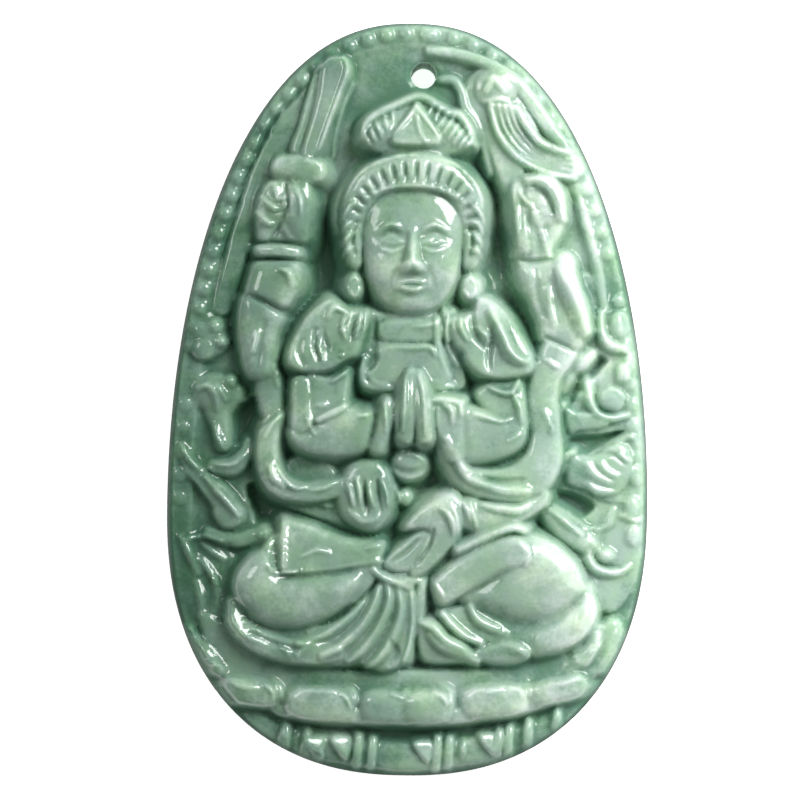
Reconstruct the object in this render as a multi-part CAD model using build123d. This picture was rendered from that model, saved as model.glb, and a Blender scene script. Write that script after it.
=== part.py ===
from build123d import *
from build123d import SkipClean
import os
import numpy as np

# One piece of jade lies on its flat back: X to the right, Y to its top, Z out of the carving.
# Lengths are millimetres. The drawing is squared up, with squares counted from the middle of the plate,
# and the tables give places and half-widths in squares and tops in hundredths of the relief.

# Plate
WIDTH = 36.4
HEIGHT = 57.0
WIDEST_FROM_FOOT = 20.1
FLOOR_THICKNESS = 2.4
RELIEF = 5.4
BACK_ROUND = 0.5
FRONT_ROUND = 0.95
FRONT_LOW = 6
FRONT_TOP = 44
FRONT_RISE = 9.0
SQUARES_ACROSS = 479.0
SQUARES_UP = 750.0
SIDE_POWER = 2.3
CROWN_POWER = 2.05
DRAFT = 3.0
BLEND = 0.3
GROUND = 18
GROUND_RISE = 8

# Border of beads
BAND_WIDTH = 1.9
BAND_TOP = 36
BAND_FALL = 1.2
BAND_DROP = 12
BEAD_WIDTH = 1.1
BEAD_PITCH = 1.46
BEAD_FROM_EDGE = 1.03
BEAD_TOP = 42

# Cord hole
HOLE_DIAMETER = 1.9
HOLE_FROM_TOP = 4.05
HOLE_ASIDE = 0.84

# Facets over the front
STRIDE = 2.5
COLUMNS = 56
ROWS = 88
PATCH = 2.4

SQUARE = WIDTH / SQUARES_ACROSS
HALF_ACROSS = SQUARES_ACROSS / 2
HALF_UP = SQUARES_UP / 2
WIDEST = (WIDEST_FROM_FOOT / HEIGHT - 0.5) * SQUARES_UP


def outline(turn):
    """Edge of the plate in squares: a superellipse round its widest line, longer above it."""
    across, upward = np.cos(turn), np.sin(turn)
    above = upward > 0
    reach = np.where(above, HALF_UP - WIDEST, HALF_UP + WIDEST)
    power = np.where(above, CROWN_POWER, SIDE_POWER)
    x = HALF_ACROSS * np.sign(across) * abs(across) ** (2 / SIDE_POWER)
    y = WIDEST + reach * np.sign(upward) * abs(upward) ** (2 / power)
    return x, y


def from_line(x, y, line_x, line_y):
    """Distance in squares from a line through points."""
    nearest = np.full(x.shape, np.inf)
    for x0, y0, x1, y1 in zip(line_x[:-1], line_y[:-1], line_x[1:], line_y[1:]):
        dx, dy = x1 - x0, y1 - y0
        along = np.clip(((x - x0) * dx + (y - y0) * dy) / (dx * dx + dy * dy), 0, 1)
        nearest = np.minimum(nearest, np.hypot(x - x0 - along * dx, y - y0 - along * dy))
    return nearest


def eased(sections, closed=False):
    """A smooth run through sections, in which each column follows a Catmull-Rom curve."""
    rows = np.array(sections, float)
    if len(rows) < 3:
        return rows
    if closed:
        led = np.vstack([rows[-1], rows, rows[0], rows[1]])
    else:
        led = np.vstack([2 * rows[0] - rows[1], rows, 2 * rows[-1] - rows[-2]])
    run = []
    for a, b, c, d in zip(led[:-3], led[1:-2], led[2:-1], led[3:]):
        count = max(2, int(np.hypot(c[0] - b[0], c[1] - b[1]) / STRIDE))
        for t in np.arange(count) / count:
            bend = 2 * a - 5 * b + 4 * c - d + t * (3 * (b - c) + d - a)
            run.append(b + 0.5 * t * (c - a + t * bend))
    return np.array(run + [led[-2]])


def shoulder(q, radius, full, power):
    """Fall in squares at q radii from the top line: a round shoulder, then a straight drafted side."""
    turn = 0.95
    edge = 1 - (1 - turn ** power) ** (1 / power)
    inner = 1 - (1 - np.clip(q, 0, turn) ** power) ** (1 / power)
    return np.where(q < turn, full * inner, full * edge + DRAFT * (q - turn)) * radius


class Relief:
    """Heights in millimetres over the deepest ground, raised and cut form by form."""

    def __init__(self, x, y):
        self.x = x
        self.y = y
        self.height = np.zeros(x.shape)

    def near(self, run, reach):
        low = run[:, :2].min(axis=0) - reach
        high = run[:, :2].max(axis=0) + reach
        return (self.x > low[0]) & (self.x < high[0]) & (self.y > low[1]) & (self.y < high[1])

    @staticmethod
    def inside(x, y, run):
        """Distance in squares in from a closed run, and under nought outside it."""
        crossings = np.zeros(x.shape, int)
        for (x0, y0), (x1, y1) in zip(run[:-1, :2], run[1:, :2]):
            if y0 != y1:
                level = (y0 > y) != (y1 > y)
                crossings += level & (x < x0 + (y - y0) / (y1 - y0) * (x1 - x0))
        return from_line(x, y, run[:, 0], run[:, 1]) * np.where(crossings % 2 == 1, 1, -1)

    def join(self, at, new):
        """The higher of the old and new surface, with a small fillet where they meet."""
        old = self.height[at]
        fillet = np.maximum(BLEND - abs(old - new), 0) ** 2 / (4 * BLEND)
        self.height[at] = np.maximum(old, new) + fillet

    def ridge(self, sections, full=0.6, power=2.2):
        """A rounded body along a run. Sections are x, y, half-width and top."""
        run = eased(sections)
        tops = run[:, 3] / 100 * RELIEF
        reach = run[:, 2].max() + tops.max() / SQUARE / DRAFT
        at = self.near(run, reach)
        x, y = self.x[at], self.y[at]
        best = np.full(x.shape, -RELIEF)
        for n in range(len(run) - 1):
            (x0, y0, half0, _), (x1, y1, half1, _) = run[n], run[n + 1]
            dx, dy = x1 - x0, y1 - y0
            along = np.clip(((x - x0) * dx + (y - y0) * dy) / (dx * dx + dy * dy), 0, 1)
            away = np.hypot(x - x0 - along * dx, y - y0 - along * dy)
            half = half0 + along * (half1 - half0)
            fall = shoulder(away / half, half, full, power)
            best = np.maximum(best, tops[n] + along * (tops[n + 1] - tops[n]) - fall * SQUARE)
        self.join(at, best)

    def panel(self, corners, edge=5, full=0.7, power=2.2):
        """A plate with a rounded edge. Corners are x, y and top, and its face is a plane near them."""
        run = eased(corners, closed=True)
        rows = np.array(corners, float)
        slope = np.linalg.lstsq(np.c_[rows[:, :2], np.ones(len(rows))], rows[:, 2], rcond=None)[0]
        at = self.near(run, rows[:, 2].max() / 100 * RELIEF / SQUARE / DRAFT)
        x, y = self.x[at], self.y[at]
        fall = shoulder(1 - self.inside(x, y, run) / edge, edge, full, power)
        self.join(at, (slope[0] * x + slope[1] * y + slope[2]) / 100 * RELIEF - fall * SQUARE)

    def dome(self, x, y, half_x, half_y, top, rise, lean=0, power=2.0, plan=2.0, taper=0):
        """A dome on an oval: rise is how far its shoulder falls, in hundredths of the relief."""
        angle = np.radians(lean)
        reach = max(half_x, half_y) * 1.1 + top / 100 * RELIEF / SQUARE / DRAFT
        at = self.near(np.array([[x, y]]), reach)
        dx, dy = self.x[at] - x, self.y[at] - y
        u = dx * np.cos(angle) + dy * np.sin(angle)
        v = dy * np.cos(angle) - dx * np.sin(angle)
        u = u / (1 + taper * np.clip(v / half_y, -1, 1))
        q = (abs(u / half_x) ** plan + abs(v / half_y) ** plan) ** (1 / plan)
        small = min(half_x, half_y)
        full = rise / 100 * RELIEF / SQUARE / small
        self.join(at, top / 100 * RELIEF - shoulder(q, small, full, power) * SQUARE)

    def fold(self, sections):
        """A soft swell along a run. Sections are x, y, half-width and lift, under nought for a groove."""
        run = eased(sections)
        at = self.near(run, run[:, 2].max())
        x, y = self.x[at], self.y[at]
        nearest = np.full(x.shape, np.inf)
        lift = np.zeros(x.shape)
        for (x0, y0, half0, lift0), (x1, y1, half1, lift1) in zip(run[:-1], run[1:]):
            dx, dy = x1 - x0, y1 - y0
            along = np.clip(((x - x0) * dx + (y - y0) * dy) / (dx * dx + dy * dy), 0, 1)
            q = np.hypot(x - x0 - along * dx, y - y0 - along * dy) / (half0 + along * (half1 - half0))
            closer = q < nearest
            nearest = np.where(closer, q, nearest)
            lift = np.where(closer, (lift0 + along * (lift1 - lift0)) * np.maximum(1 - q * q,
                    0) ** 1.5, lift)
        self.height[at] += lift / 100 * RELIEF

    def pit(self, corners, edge=6, steep=3):
        """A sunk place with sloping walls. Corners are x, y and floor."""
        run = eased(corners, closed=True)
        at = self.near(run, 0)
        x, y = self.x[at], self.y[at]
        floor = np.mean([corner[2] for corner in corners]) / 100 * RELIEF
        depth = self.inside(x, y, run)
        wall = np.where(depth > 0, floor + np.maximum(edge - depth, 0) ** 2 / edge * steep * SQUARE,
                np.inf)
        self.height[at] = np.minimum(self.height[at], wall)

    def swell(self, x, y, half_x, half_y, lift, lean=0):
        """A soft swell on the ground, or a dish where lift is under nought."""
        angle = np.radians(lean)
        dx, dy = self.x - x, self.y - y
        u = (dx * np.cos(angle) + dy * np.sin(angle)) / half_x
        v = (dy * np.cos(angle) - dx * np.sin(angle)) / half_y
        self.height += lift / 100 * RELIEF * np.exp(-(u * u + v * v) ** 1.5)


def carve_ground(stone, edge):
    stone.height[:] = (GROUND + GROUND_RISE * np.exp(-(edge / 40) ** 2)) / 100 * RELIEF
    # Shallow sky over the crown
    stone.swell(-10, 335, 85, 44, 12)
    # Deep ground round the head
    for x, y, half_x, half_y, deep, lean in ((-75, 165, 26, 60, 18, -12), (-96, 108, 24, 30, 16, -30),
                                             (84, 180, 18, 60, 20, 12), (112, 72, 18, 36, 22, 15),
                                             (0, 76, 60, 14, 10, 0), (158, 158, 16, 26, 4, 0),
                                             (57, 20, 10, 40, 14, 0), (-58, 15, 8, 40, 14, 0),
                                             (0, -85, 50, 28, 8, 0), (190, -190, 18, 32, 6, 0)):
        stone.swell(x, y, half_x, half_y, -deep, lean)


def bead_places(first, last):
    """Points one pitch apart along the band, between two directions from the middle, in degrees."""
    edge_x, edge_y = outline(np.linspace(-0.6, 3.8, 4000))
    dx, dy = np.gradient(edge_x), np.gradient(edge_y)
    step = np.hypot(dx, dy)
    x = edge_x - BEAD_FROM_EDGE / SQUARE * dy / step
    y = edge_y + BEAD_FROM_EDGE / SQUARE * dx / step
    facing = np.degrees(np.arctan2(y, x))
    within = (facing >= first) & (facing <= last)
    x, y = x[within], y[within]
    run = np.concatenate([[0], np.cumsum(np.hypot(np.diff(x), np.diff(y)))])
    at = np.linspace(0, run[-1], int(run[-1] * SQUARE / BEAD_PITCH) + 1)
    return zip(np.interp(at, run, x), np.interp(at, run, y))


def carve_border(stone, edge):
    # Flat band, fading out toward the lotus
    fade = np.clip((stone.y + 215) / 60, 0, 1)
    wall = RELIEF * BAND_TOP / 100 - np.maximum(edge * SQUARE - BAND_WIDTH, 0) * BAND_FALL
    stone.join(slice(None), wall - (1 - fade) * BAND_DROP / 100 * RELIEF)
    # Flat strip inside the band
    stone.ridge([(-101, 300, 6, 34), (-117, 274, 11, 37), (-137, 240, 13, 38), (-154, 203, 13, 38),
                 (-168, 163, 12, 38), (-178, 125, 11, 37), (-186, 90, 9, 35)], 0.2, 2.6)
    # Beads on the left and top, on the upper right, and below the whisk
    for first, last in ((88, 167), (64, 87), (37, 62), (-6, 26)):
        for x, y in bead_places(first, last):
            stone.dome(x, y, BEAD_WIDTH / 2 / SQUARE, BEAD_WIDTH / 2 / SQUARE, BEAD_TOP, 8, power=2.6)


def carve_left_arm(stone):
    # Blade with a bevel on its left, its guard, and the fist on its grip
    stone.panel([(-93, 328, 50), (-69, 337, 56), (-62, 322, 58), (-69, 303, 60), (-79, 276, 60),
                 (-92, 242, 60), (-120, 243, 52), (-112, 270, 50), (-104, 300, 48)], 4, 0.9)
    stone.panel([(-88, 330, 52), (-70, 336, 58), (-64, 321, 60), (-71, 302, 62), (-81, 275, 62),
                 (-93, 242, 62), (-108, 242, 60), (-100, 272, 58), (-93, 300, 56)], 3, 0.9)
    stone.ridge([(-126, 227, 11, 64), (-110, 226, 12, 67), (-96, 223, 12, 67)], 0.5, 2.6)
    stone.panel([(-140, 213, 60), (-120, 213, 66), (-102, 212, 68), (-97, 195, 68), (-99, 170, 70),
                 (-106, 152, 66), (-146, 152, 58), (-153, 170, 56), (-151, 195, 57)], 9, 0.7)
    stone.dome(-113, 184, 14, 28, 76, 16, 8)
    # Bracelet, sleeve and lower arm
    stone.ridge([(-147, 145, 7, 60), (-130, 145, 7, 67), (-113, 143, 7, 63)], 0.7)
    stone.panel([(-153, 135, 64), (-130, 137, 70), (-110, 134, 70), (-106, 115, 72), (-113, 98, 74),
                 (-124, 87, 76), (-150, 90, 72), (-163, 100, 66), (-161, 118, 64)], 18, 0.7)
    stone.panel([(-166, 102, 62), (-150, 104, 66), (-130, 98, 68), (-122, 84, 68), (-128, 62, 70),
                 (-131, 40, 70), (-134, 22, 68), (-150, 16, 66), (-162, 24, 64), (-169, 50, 66),
                 (-171, 80, 64)], 17, 0.7)
    stone.ridge([(-138, 18, 14, 58), (-137, 0, 14, 57), (-134, -14, 12, 54)])


def carve_right_arm(stone):
    # Swell beside the cord hole, with the rolled edge of the robe
    stone.panel([(55, 318, 42), (70, 328, 46), (92, 318, 48), (112, 290, 48), (125, 262, 46),
                 (112, 232, 46), (108, 196, 48), (97, 200, 48), (86, 222, 46), (76, 245, 46),
                 (66, 268, 46), (54, 288, 44), (51, 304, 42)], 8, 0.5)
    stone.dome(82, 308, 22, 20, 54, 10)
    # Whisk of five strands that sweep outwards
    for strand in range(5):
        out = 7.6 * strand
        stone.ridge([(78 + 0.8 * out, 290 - 0.1 * out, 4, 56),
                     (88 + 0.75 * out, 263 + 0.25 * out, 4, 60),
                     (107 + 0.6 * out, 241 + 0.42 * out, 4, 60),
                     (134 + 0.35 * out, 228 + 0.58 * out, 4, 57),
                     (160 + 0.1 * out, 222 + 0.72 * out, 4, 50)], 0.9)
    stone.panel([(146, 246, 48), (163, 250, 48), (170, 235, 46), (166, 223, 46), (150, 225, 50)],
                 6, 0.4)
    # Fist, sleeve and lower arm
    stone.panel([(99, 214, 58), (118, 216, 66), (133, 208, 68), (146, 190, 66), (149, 172, 62),
                 (139, 150, 62), (138, 138, 62), (106, 138, 60), (104, 160, 58), (100, 185, 58)],
                 9, 0.6)
    stone.dome(127, 194, 18, 24, 72, 14, 12)
    stone.panel([(150, 226, 28), (166, 216, 28), (178, 170, 28), (186, 122, 28), (174, 122, 28),
                 (158, 140, 28), (148, 165, 28)], 6, 0.3)
    stone.ridge([(114, 216, 4, 68), (131, 215, 5, 75), (143, 201, 5, 76), (147, 180, 4, 70)], 0.8)
    stone.ridge([(103, 208, 5, 62), (107, 180, 6, 66), (112, 150, 6, 66)])
    stone.panel([(105, 140, 60), (120, 138, 66), (142, 142, 70), (158, 128, 72), (170, 108, 72),
                 (177, 85, 72), (174, 62, 72), (163, 49, 72), (142, 52, 74), (127, 60, 74),
                 (124, 78, 72), (116, 98, 66), (106, 118, 62)], 20, 0.7)
    stone.ridge([(150, 134, 8, 74), (154, 114, 9, 80), (164, 90, 9, 80), (170, 70, 7, 76)], 0.5)
    stone.ridge([(147, 50, 18, 70), (135, 25, 15, 68), (132, 0, 15, 67), (133, -20, 15, 68)], 0.5, 2.4)


def carve_left_gifts(stone):
    # Low ground with two openings beside the ribbon
    stone.panel([(-214, 70, 28), (-180, 70, 28), (-160, 10, 30), (-148, -60, 32), (-128, -110, 32),
                 (-124, -150, 32), (-160, -180, 34), (-176, -215, 34), (-205, -225, 32),
                 (-230, -170, 28), (-237, -100, 26), (-232, 0, 26)], 12, 0.4)
    stone.pit([(-178, -12, 5), (-163, -4, 5), (-153, 2, 5), (-149, -14, 5), (-150, -32, 5),
               (-160, -42, 5), (-172, -46, 5), (-180, -32, 5)])
    stone.pit([(-160, -88, 5), (-146, -84, 5), (-130, -94, 5), (-112, -108, 5), (-124, -118, 5),
               (-130, -130, 5), (-146, -128, 5), (-154, -110, 5)])
    # Ball, and the hand with its cord
    stone.dome(-200, 57, 21, 19, 46, 16)
    stone.panel([(-216, 8, 36), (-206, 18, 42), (-185, 22, 44), (-168, 14, 42), (-164, 2, 38),
                 (-172, -10, 38), (-180, -22, 40), (-190, -18, 38), (-204, -8, 34)], 10, 0.5)
    stone.ridge([(-186, -10, 8, 40), (-184, -28, 8, 40), (-182, -46, 7, 38)], 0.5)
    # Crescent, leaf-shaped blade and short staff
    stone.ridge([(-158, -44, 3, 42), (-162, -58, 7, 48), (-174, -69, 9, 48), (-192, -68, 6, 42)], 0.5)
    stone.panel([(-226, -46, 38), (-217, -52, 42), (-205, -68, 44), (-188, -82, 46), (-172, -98, 48),
                 (-161, -115, 50), (-168, -127, 50), (-180, -130, 48), (-190, -120, 48),
                 (-194, -105, 46), (-206, -90, 42), (-218, -72, 38)], 7, 0.6)
    stone.ridge([(-196, -134, 5, 40), (-172, -142, 7, 46), (-152, -138, 8, 46), (-138, -136, 7, 48)],
                 0.6)


def carve_right_gifts(stone):
    # Ground of the side forms, nearly as high as the border, with three openings beside the sleeve
    stone.panel([(168, 128, 34), (186, 122, 36), (205, 90, 38), (226, 30, 38), (234, -40, 38),
                 (236, -110, 38), (230, -170, 38), (206, -208, 38), (186, -196, 36), (168, -150, 36),
                 (140, -118, 36), (148, -90, 38), (154, -40, 40), (150, 10, 40), (156, 40, 36),
                 (180, 60, 34), (182, 90, 34)], 9, 0.5)
    stone.pit([(152, 14, 13), (164, 36, 13), (182, 48, 13), (197, 42, 13), (188, 28, 13), (172, 12, 13),
               (160, -6, 13), (152, 0, 13)])
    stone.pit([(156, -40, 13), (166, -33, 13), (190, -31, 13), (214, -28, 13), (196, -42, 13),
               (178, -52, 13), (164, -53, 13)])
    stone.pit([(141, -90, 13), (158, -88, 13), (176, -94, 13), (186, -104, 13), (176, -114, 13),
               (158, -109, 13), (145, -100, 13)])
    # Jointed staff
    stone.ridge([(180, 47, 6, 44), (170, 38, 7, 48), (162, 30, 5, 42), (156, 22, 6, 46),
                 (150, 10, 5, 42)], 0.7)
    # Two jewels, each in a loop
    stone.dome(207, 76, 10, 14, 50, 10)
    stone.dome(200, 2, 14, 12, 50, 9)
    stone.ridge([(177, 18, 4, 44), (180, 2, 4, 50), (187, -11, 4, 51), (200, -16, 4, 49),
                 (216, -13, 3, 44)], 0.9)
    # Two hands with what they hold
    stone.panel([(154, -6, 46), (166, -10, 48), (182, -12, 50), (198, -20, 48), (190, -26, 46),
                 (170, -28, 46), (158, -30, 46)], 6, 0.5)
    stone.panel([(156, -62, 48), (162, -52, 50), (184, -54, 52), (198, -44, 50), (214, -42, 48),
                 (222, -58, 46), (220, -76, 46), (206, -90, 48), (190, -93, 50), (172, -86, 50),
                 (158, -80, 48)], 10, 0.5)
    # Slanting fold, and a pearl in a bowl
    stone.ridge([(140, -108, 9, 50), (154, -121, 13, 54), (170, -134, 12, 52), (183, -144, 8, 46)],
                 0.4, 2.5)
    stone.dome(197, -152, 9, 8, 50, 12)
    stone.ridge([(177, -142, 3, 44), (181, -156, 4, 50), (191, -166, 4, 52), (208, -168, 4, 48),
                 (220, -162, 3, 42)], 0.9)


def carve_lotus(stone):
    # Sloping top of the seat and the curled leaves at its ends
    stone.panel([(-205, -215, 34), (-178, -225, 40), (-150, -250, 46), (-90, -266, 46), (0, -268, 47),
                 (90, -264, 48), (150, -250, 48), (182, -226, 44), (206, -216, 40), (205, -245, 38),
                 (182, -275, 42), (120, -298, 46), (0, -310, 46), (-120, -298, 44), (-182, -278, 36)],
                 8, 0.4)
    stone.ridge([(-216, -230, 4, 42), (-206, -249, 7, 48), (-190, -265, 7, 50), (-180, -272, 5, 48)],
                 0.8)
    stone.ridge([(205, -222, 9, 44), (206, -244, 9, 46), (196, -264, 7, 42)], 0.6)
    stone.ridge([(190, -224, 4, 50), (184, -242, 7, 56), (172, -256, 7, 54), (160, -262, 5, 48)], 0.7)
    # Petals: x, y, half-width, half-height, top and lean
    for petal in ((-151, -290, 28, 14, 62, -10), (-83, -301, 34, 17, 68, -3),
                  (-21, -303, 23, 17, 70, 2), (23, -303, 25, 17, 72, 2), (88, -296, 33, 17, 70, 5),
                  (150, -284, 28, 13, 64, 14)):
        x, y, half_x, half_y, top, lean = petal
        stone.dome(x, y, half_x, half_y, top, 14, lean, 2.3, 2.8)
    # Lower row of petals on a low step
    stone.panel([(-156, -312, 28), (-80, -334, 30), (0, -339, 31), (80, -334, 30), (152, -308, 28),
                 (136, -336, 28), (80, -360, 28), (0, -369, 28), (-80, -360, 28), (-138, -338, 28)],
                 6, 0.4)
    for x, y, half_x, half_y, top, lean in ((-140, -325, 22, 9, 32, -28), (-84, -345, 27, 14, 38, -10),
                                            (0, -354, 29, 15, 41, 0), (76, -346, 27, 14, 40, 9),
                                            (134, -325, 24, 10, 36, 24)):
        stone.dome(x, y, half_x, half_y, top, 10, lean, 2.4, 3)


def carve_robe(stone):
    # Robe under the left knee, with its rolled edge
    stone.panel([(-172, -195, 52), (-150, -205, 56), (-100, -225, 62), (-60, -215, 66),
                 (-20, -176, 66), (6, -180, 62), (6, -250, 62), (-6, -262, 60), (-24, -268, 60),
                 (-44, -262, 60), (-58, -263, 60), (-90, -264, 60), (-120, -258, 58), (-150, -245, 56),
                 (-170, -230, 54), (-178, -212, 50)], 7, 0.7)
    stone.ridge([(-170, -204, 6, 58), (-166, -222, 9, 65), (-148, -237, 11, 69), (-122, -247, 12, 70),
                 (-92, -251, 11, 69), (-68, -250, 8, 66)], 0.4, 2.6)
    # Folds that sweep round from the top of the middle fall
    for sweep in (((-40, -172, 4), (-42, -190, 6), (-56, -213, 7), (-80, -232, 7), (-106, -240, 5)),
                  ((-30, -174, 4), (-29, -195, 6), (-42, -221, 8), (-62, -241, 8), (-82, -252, 5)),
                  ((-20, -178, 4), (-17, -199, 6), (-27, -225, 8), (-42, -246, 8), (-56, -258, 5)),
                  ((-8, -184, 4), (-5, -208, 6), (-13, -234, 8), (-27, -255, 7), (-38, -264, 4))):
        stone.fold([(x, y, half, lift) for (x, y, half), lift in zip(sweep, (3, 9, 12, 12, 8))])
    # Left knee and the cloth over the thigh, on one body of stone
    stone.panel([(-150, -160, 66), (-120, -130, 66), (-60, -142, 68), (-26, -148, 66), (-30, -176, 66),
                 (-60, -204, 68), (-120, -216, 68), (-156, -196, 66)], 10, 0.5)
    stone.panel([(-121, -170, 84), (-90, -168, 84), (-60, -167, 82), (-43, -169, 78), (-41, -182, 78),
                 (-50, -196, 80), (-66, -211, 82), (-84, -221, 82), (-108, -228, 82), (-134, -226, 82),
                 (-155, -215, 80), (-168, -198, 78), (-171, -183, 78), (-166, -168, 80),
                 (-155, -155, 80), (-142, -149, 80), (-130, -154, 82), (-124, -164, 84)], 26, 0.7, 2)
    stone.panel([(-124, -121, 60), (-112, -121, 62), (-92, -126, 66), (-72, -134, 68), (-50, -139, 68),
                 (-26, -140, 64), (-22, -148, 62), (-30, -158, 66), (-55, -162, 74), (-90, -167, 78),
                 (-121, -171, 78), (-124, -148, 70)], 7, 0.5)
    # Robe under the right knee
    stone.panel([(180, -178, 58), (184, -195, 60), (183, -211, 64), (174, -229, 68), (158, -244, 70),
                 (140, -250, 70), (124, -251, 68), (100, -244, 62), (75, -238, 60), (44, -228, 58),
                 (34, -212, 56), (60, -200, 58), (110, -200, 60), (150, -180, 60)], 7, 0.7)
    stone.ridge([(178, -188, 6, 62), (175, -208, 11, 73), (160, -226, 13, 76), (136, -236, 11, 72)],
                 0.4, 2.5)
    # Right knee and calf, on one body of stone
    stone.panel([(34, -186, 66), (60, -156, 70), (108, -140, 72), (160, -170, 72), (150, -204, 70),
                 (100, -212, 66), (60, -200, 64)], 10, 0.5)
    stone.panel([(110, -129, 84), (128, -131, 86), (146, -139, 88), (162, -153, 88), (173, -170, 86),
                 (178, -186, 82), (170, -196, 80), (156, -207, 80), (138, -218, 80), (112, -222, 78),
                 (90, -216, 76), (70, -206, 74), (60, -190, 74), (78, -168, 80), (96, -144, 84)],
                 28, 0.75, 2)
    stone.panel([(27, -178, 76), (40, -164, 80), (60, -150, 84), (82, -140, 86), (100, -133, 88),
                 (112, -134, 88), (119, -142, 88), (120, -154, 88), (112, -161, 88), (92, -169, 86),
                 (70, -182, 84), (50, -194, 80), (36, -201, 76), (29, -193, 74)], 10, 0.6, 2.2)
    # Foot, and the flap beside the middle fall
    stone.panel([(68, -246, 64), (84, -240, 68), (104, -239, 70), (120, -243, 70), (122, -252, 68),
                 (108, -259, 66), (85, -259, 64), (70, -254, 62)], 7, 0.6)
    stone.panel([(14, -219, 60), (26, -222, 64), (36, -234, 66), (52, -243, 66), (66, -251, 64),
                 (70, -257, 60), (52, -258, 58), (28, -259, 56), (17, -254, 56), (12, -235, 56)],
                 4, 0.6)


def carve_ribbons(stone):
    # Cloth under the left ribbon, then the ribbon, which turns under the elbow
    stone.panel([(-118, -60, 40), (-100, -57, 42), (-80, -62, 44), (-70, -74, 46), (-80, -86, 46),
                 (-105, -88, 44), (-120, -76, 42)], 8, 0.4)
    stone.panel([(-130, -98, 36), (-100, -96, 44), (-70, -96, 48), (-58, -106, 50), (-46, -128, 48),
                 (-60, -128, 46), (-80, -121, 42), (-108, -112, 38), (-120, -107, 36)], 6, 0.5)
    stone.ridge([(-128, -18, 5, 60), (-137, -34, 10, 64), (-138, -62, 11, 66), (-128, -84, 11, 67),
                 (-102, -93, 9, 66), (-76, -90, 9, 64), (-62, -84, 7, 62)], 0.4, 2.6)
    # Right sleeve, its inner ribbon and the lower forearm
    stone.ridge([(133, -8, 15, 66), (135, -35, 15, 69), (131, -62, 19, 72), (112, -82, 21, 73),
                 (84, -86, 18, 72), (62, -78, 12, 68)], 0.4, 2.5)
    stone.ridge([(34, -40, 8, 66), (42, -62, 8, 67), (56, -80, 8, 70), (80, -90, 7, 76),
                 (108, -90, 6, 74)], 0.6)
    stone.ridge([(128, -94, 12, 70), (102, -107, 15, 75), (76, -114, 16, 77), (62, -112, 16, 77)],
                 0.4, 2.5)


def carve_torso(stone):
    # Robe front, neck band and chest
    stone.panel([(-46, 88, 54), (-20, 84, 56), (26, 84, 56), (44, 88, 56), (46, 60, 54), (55, 24, 52),
                 (47, 9, 52), (0, 4, 54), (-40, 7, 52), (-48, 24, 50), (-48, 60, 52)], 4, 0.5)
    stone.panel([(-26, 76, 60), (27, 77, 62), (29, 59, 64), (-26, 59, 61)], 4, 0.5)
    stone.panel([(-27, 53, 63), (18, 54, 66), (26, 49, 67), (30, 36, 67), (36, 21, 65), (10, 16, 63),
                 (-14, 14, 61), (-37, 23, 60), (-31, 38, 62)], 5, 0.5)
    # Capes over the shoulders
    stone.panel([(-41, 86, 64), (-60, 89, 67), (-77, 98, 68), (-92, 90, 68), (-106, 74, 71),
                 (-116, 54, 75), (-120, 38, 77), (-114, 29, 78), (-97, 26, 79), (-78, 29, 79),
                 (-64, 37, 78), (-51, 44, 76), (-46, 58, 73), (-41, 72, 68)], 7, 0.6)
    stone.panel([(68, 100, 66), (80, 98, 68), (98, 82, 72), (111, 62, 75), (121, 42, 77),
                 (118, 28, 79), (96, 22, 79), (73, 25, 79), (58, 36, 77), (53, 47, 75), (45, 55, 72),
                 (40, 70, 69), (41, 81, 66), (53, 83, 66), (62, 88, 66)], 7, 0.6)
    stone.fold([(80, 92, 5, 4), (91, 70, 8, 7), (100, 52, 8, 7), (112, 38, 6, 4)])
    # Left upper arm and forearm
    stone.panel([(-100, 22, 68), (-80, 20, 68), (-60, 28, 66), (-60, 8, 66), (-64, -10, 70),
                 (-88, -22, 73), (-100, -24, 74)], 5, 0.5)
    stone.panel([(-114, 18, 70), (-100, 20, 72), (-97, -6, 74), (-95, -24, 76), (-101, -33, 76),
                 (-114, -30, 74), (-115, -6, 72)], 6, 0.5)
    stone.panel([(-116, -30, 74), (-102, -33, 78), (-92, -26, 80), (-76, -15, 80), (-60, -8, 80),
                 (-46, -11, 80), (-36, -14, 80), (-34, -30, 80), (-40, -50, 78), (-60, -57, 78),
                 (-88, -57, 77), (-106, -51, 75), (-116, -40, 73)], 14, 0.6)
    # Right upper arm and forearm
    stone.panel([(66, 8, 58), (80, 18, 64), (96, 18, 70), (109, 20, 70), (114, 2, 74), (116, -28, 76),
                 (108, -38, 76), (96, -24, 76), (84, -16, 72), (70, -4, 64)], 6, 0.6)
    stone.panel([(50, -5, 74), (66, -8, 78), (84, -14, 80), (100, -20, 80), (115, -26, 78),
                 (114, -40, 77), (104, -51, 77), (84, -59, 77), (56, -60, 76), (50, -34, 78)], 13, 0.6)


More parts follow.
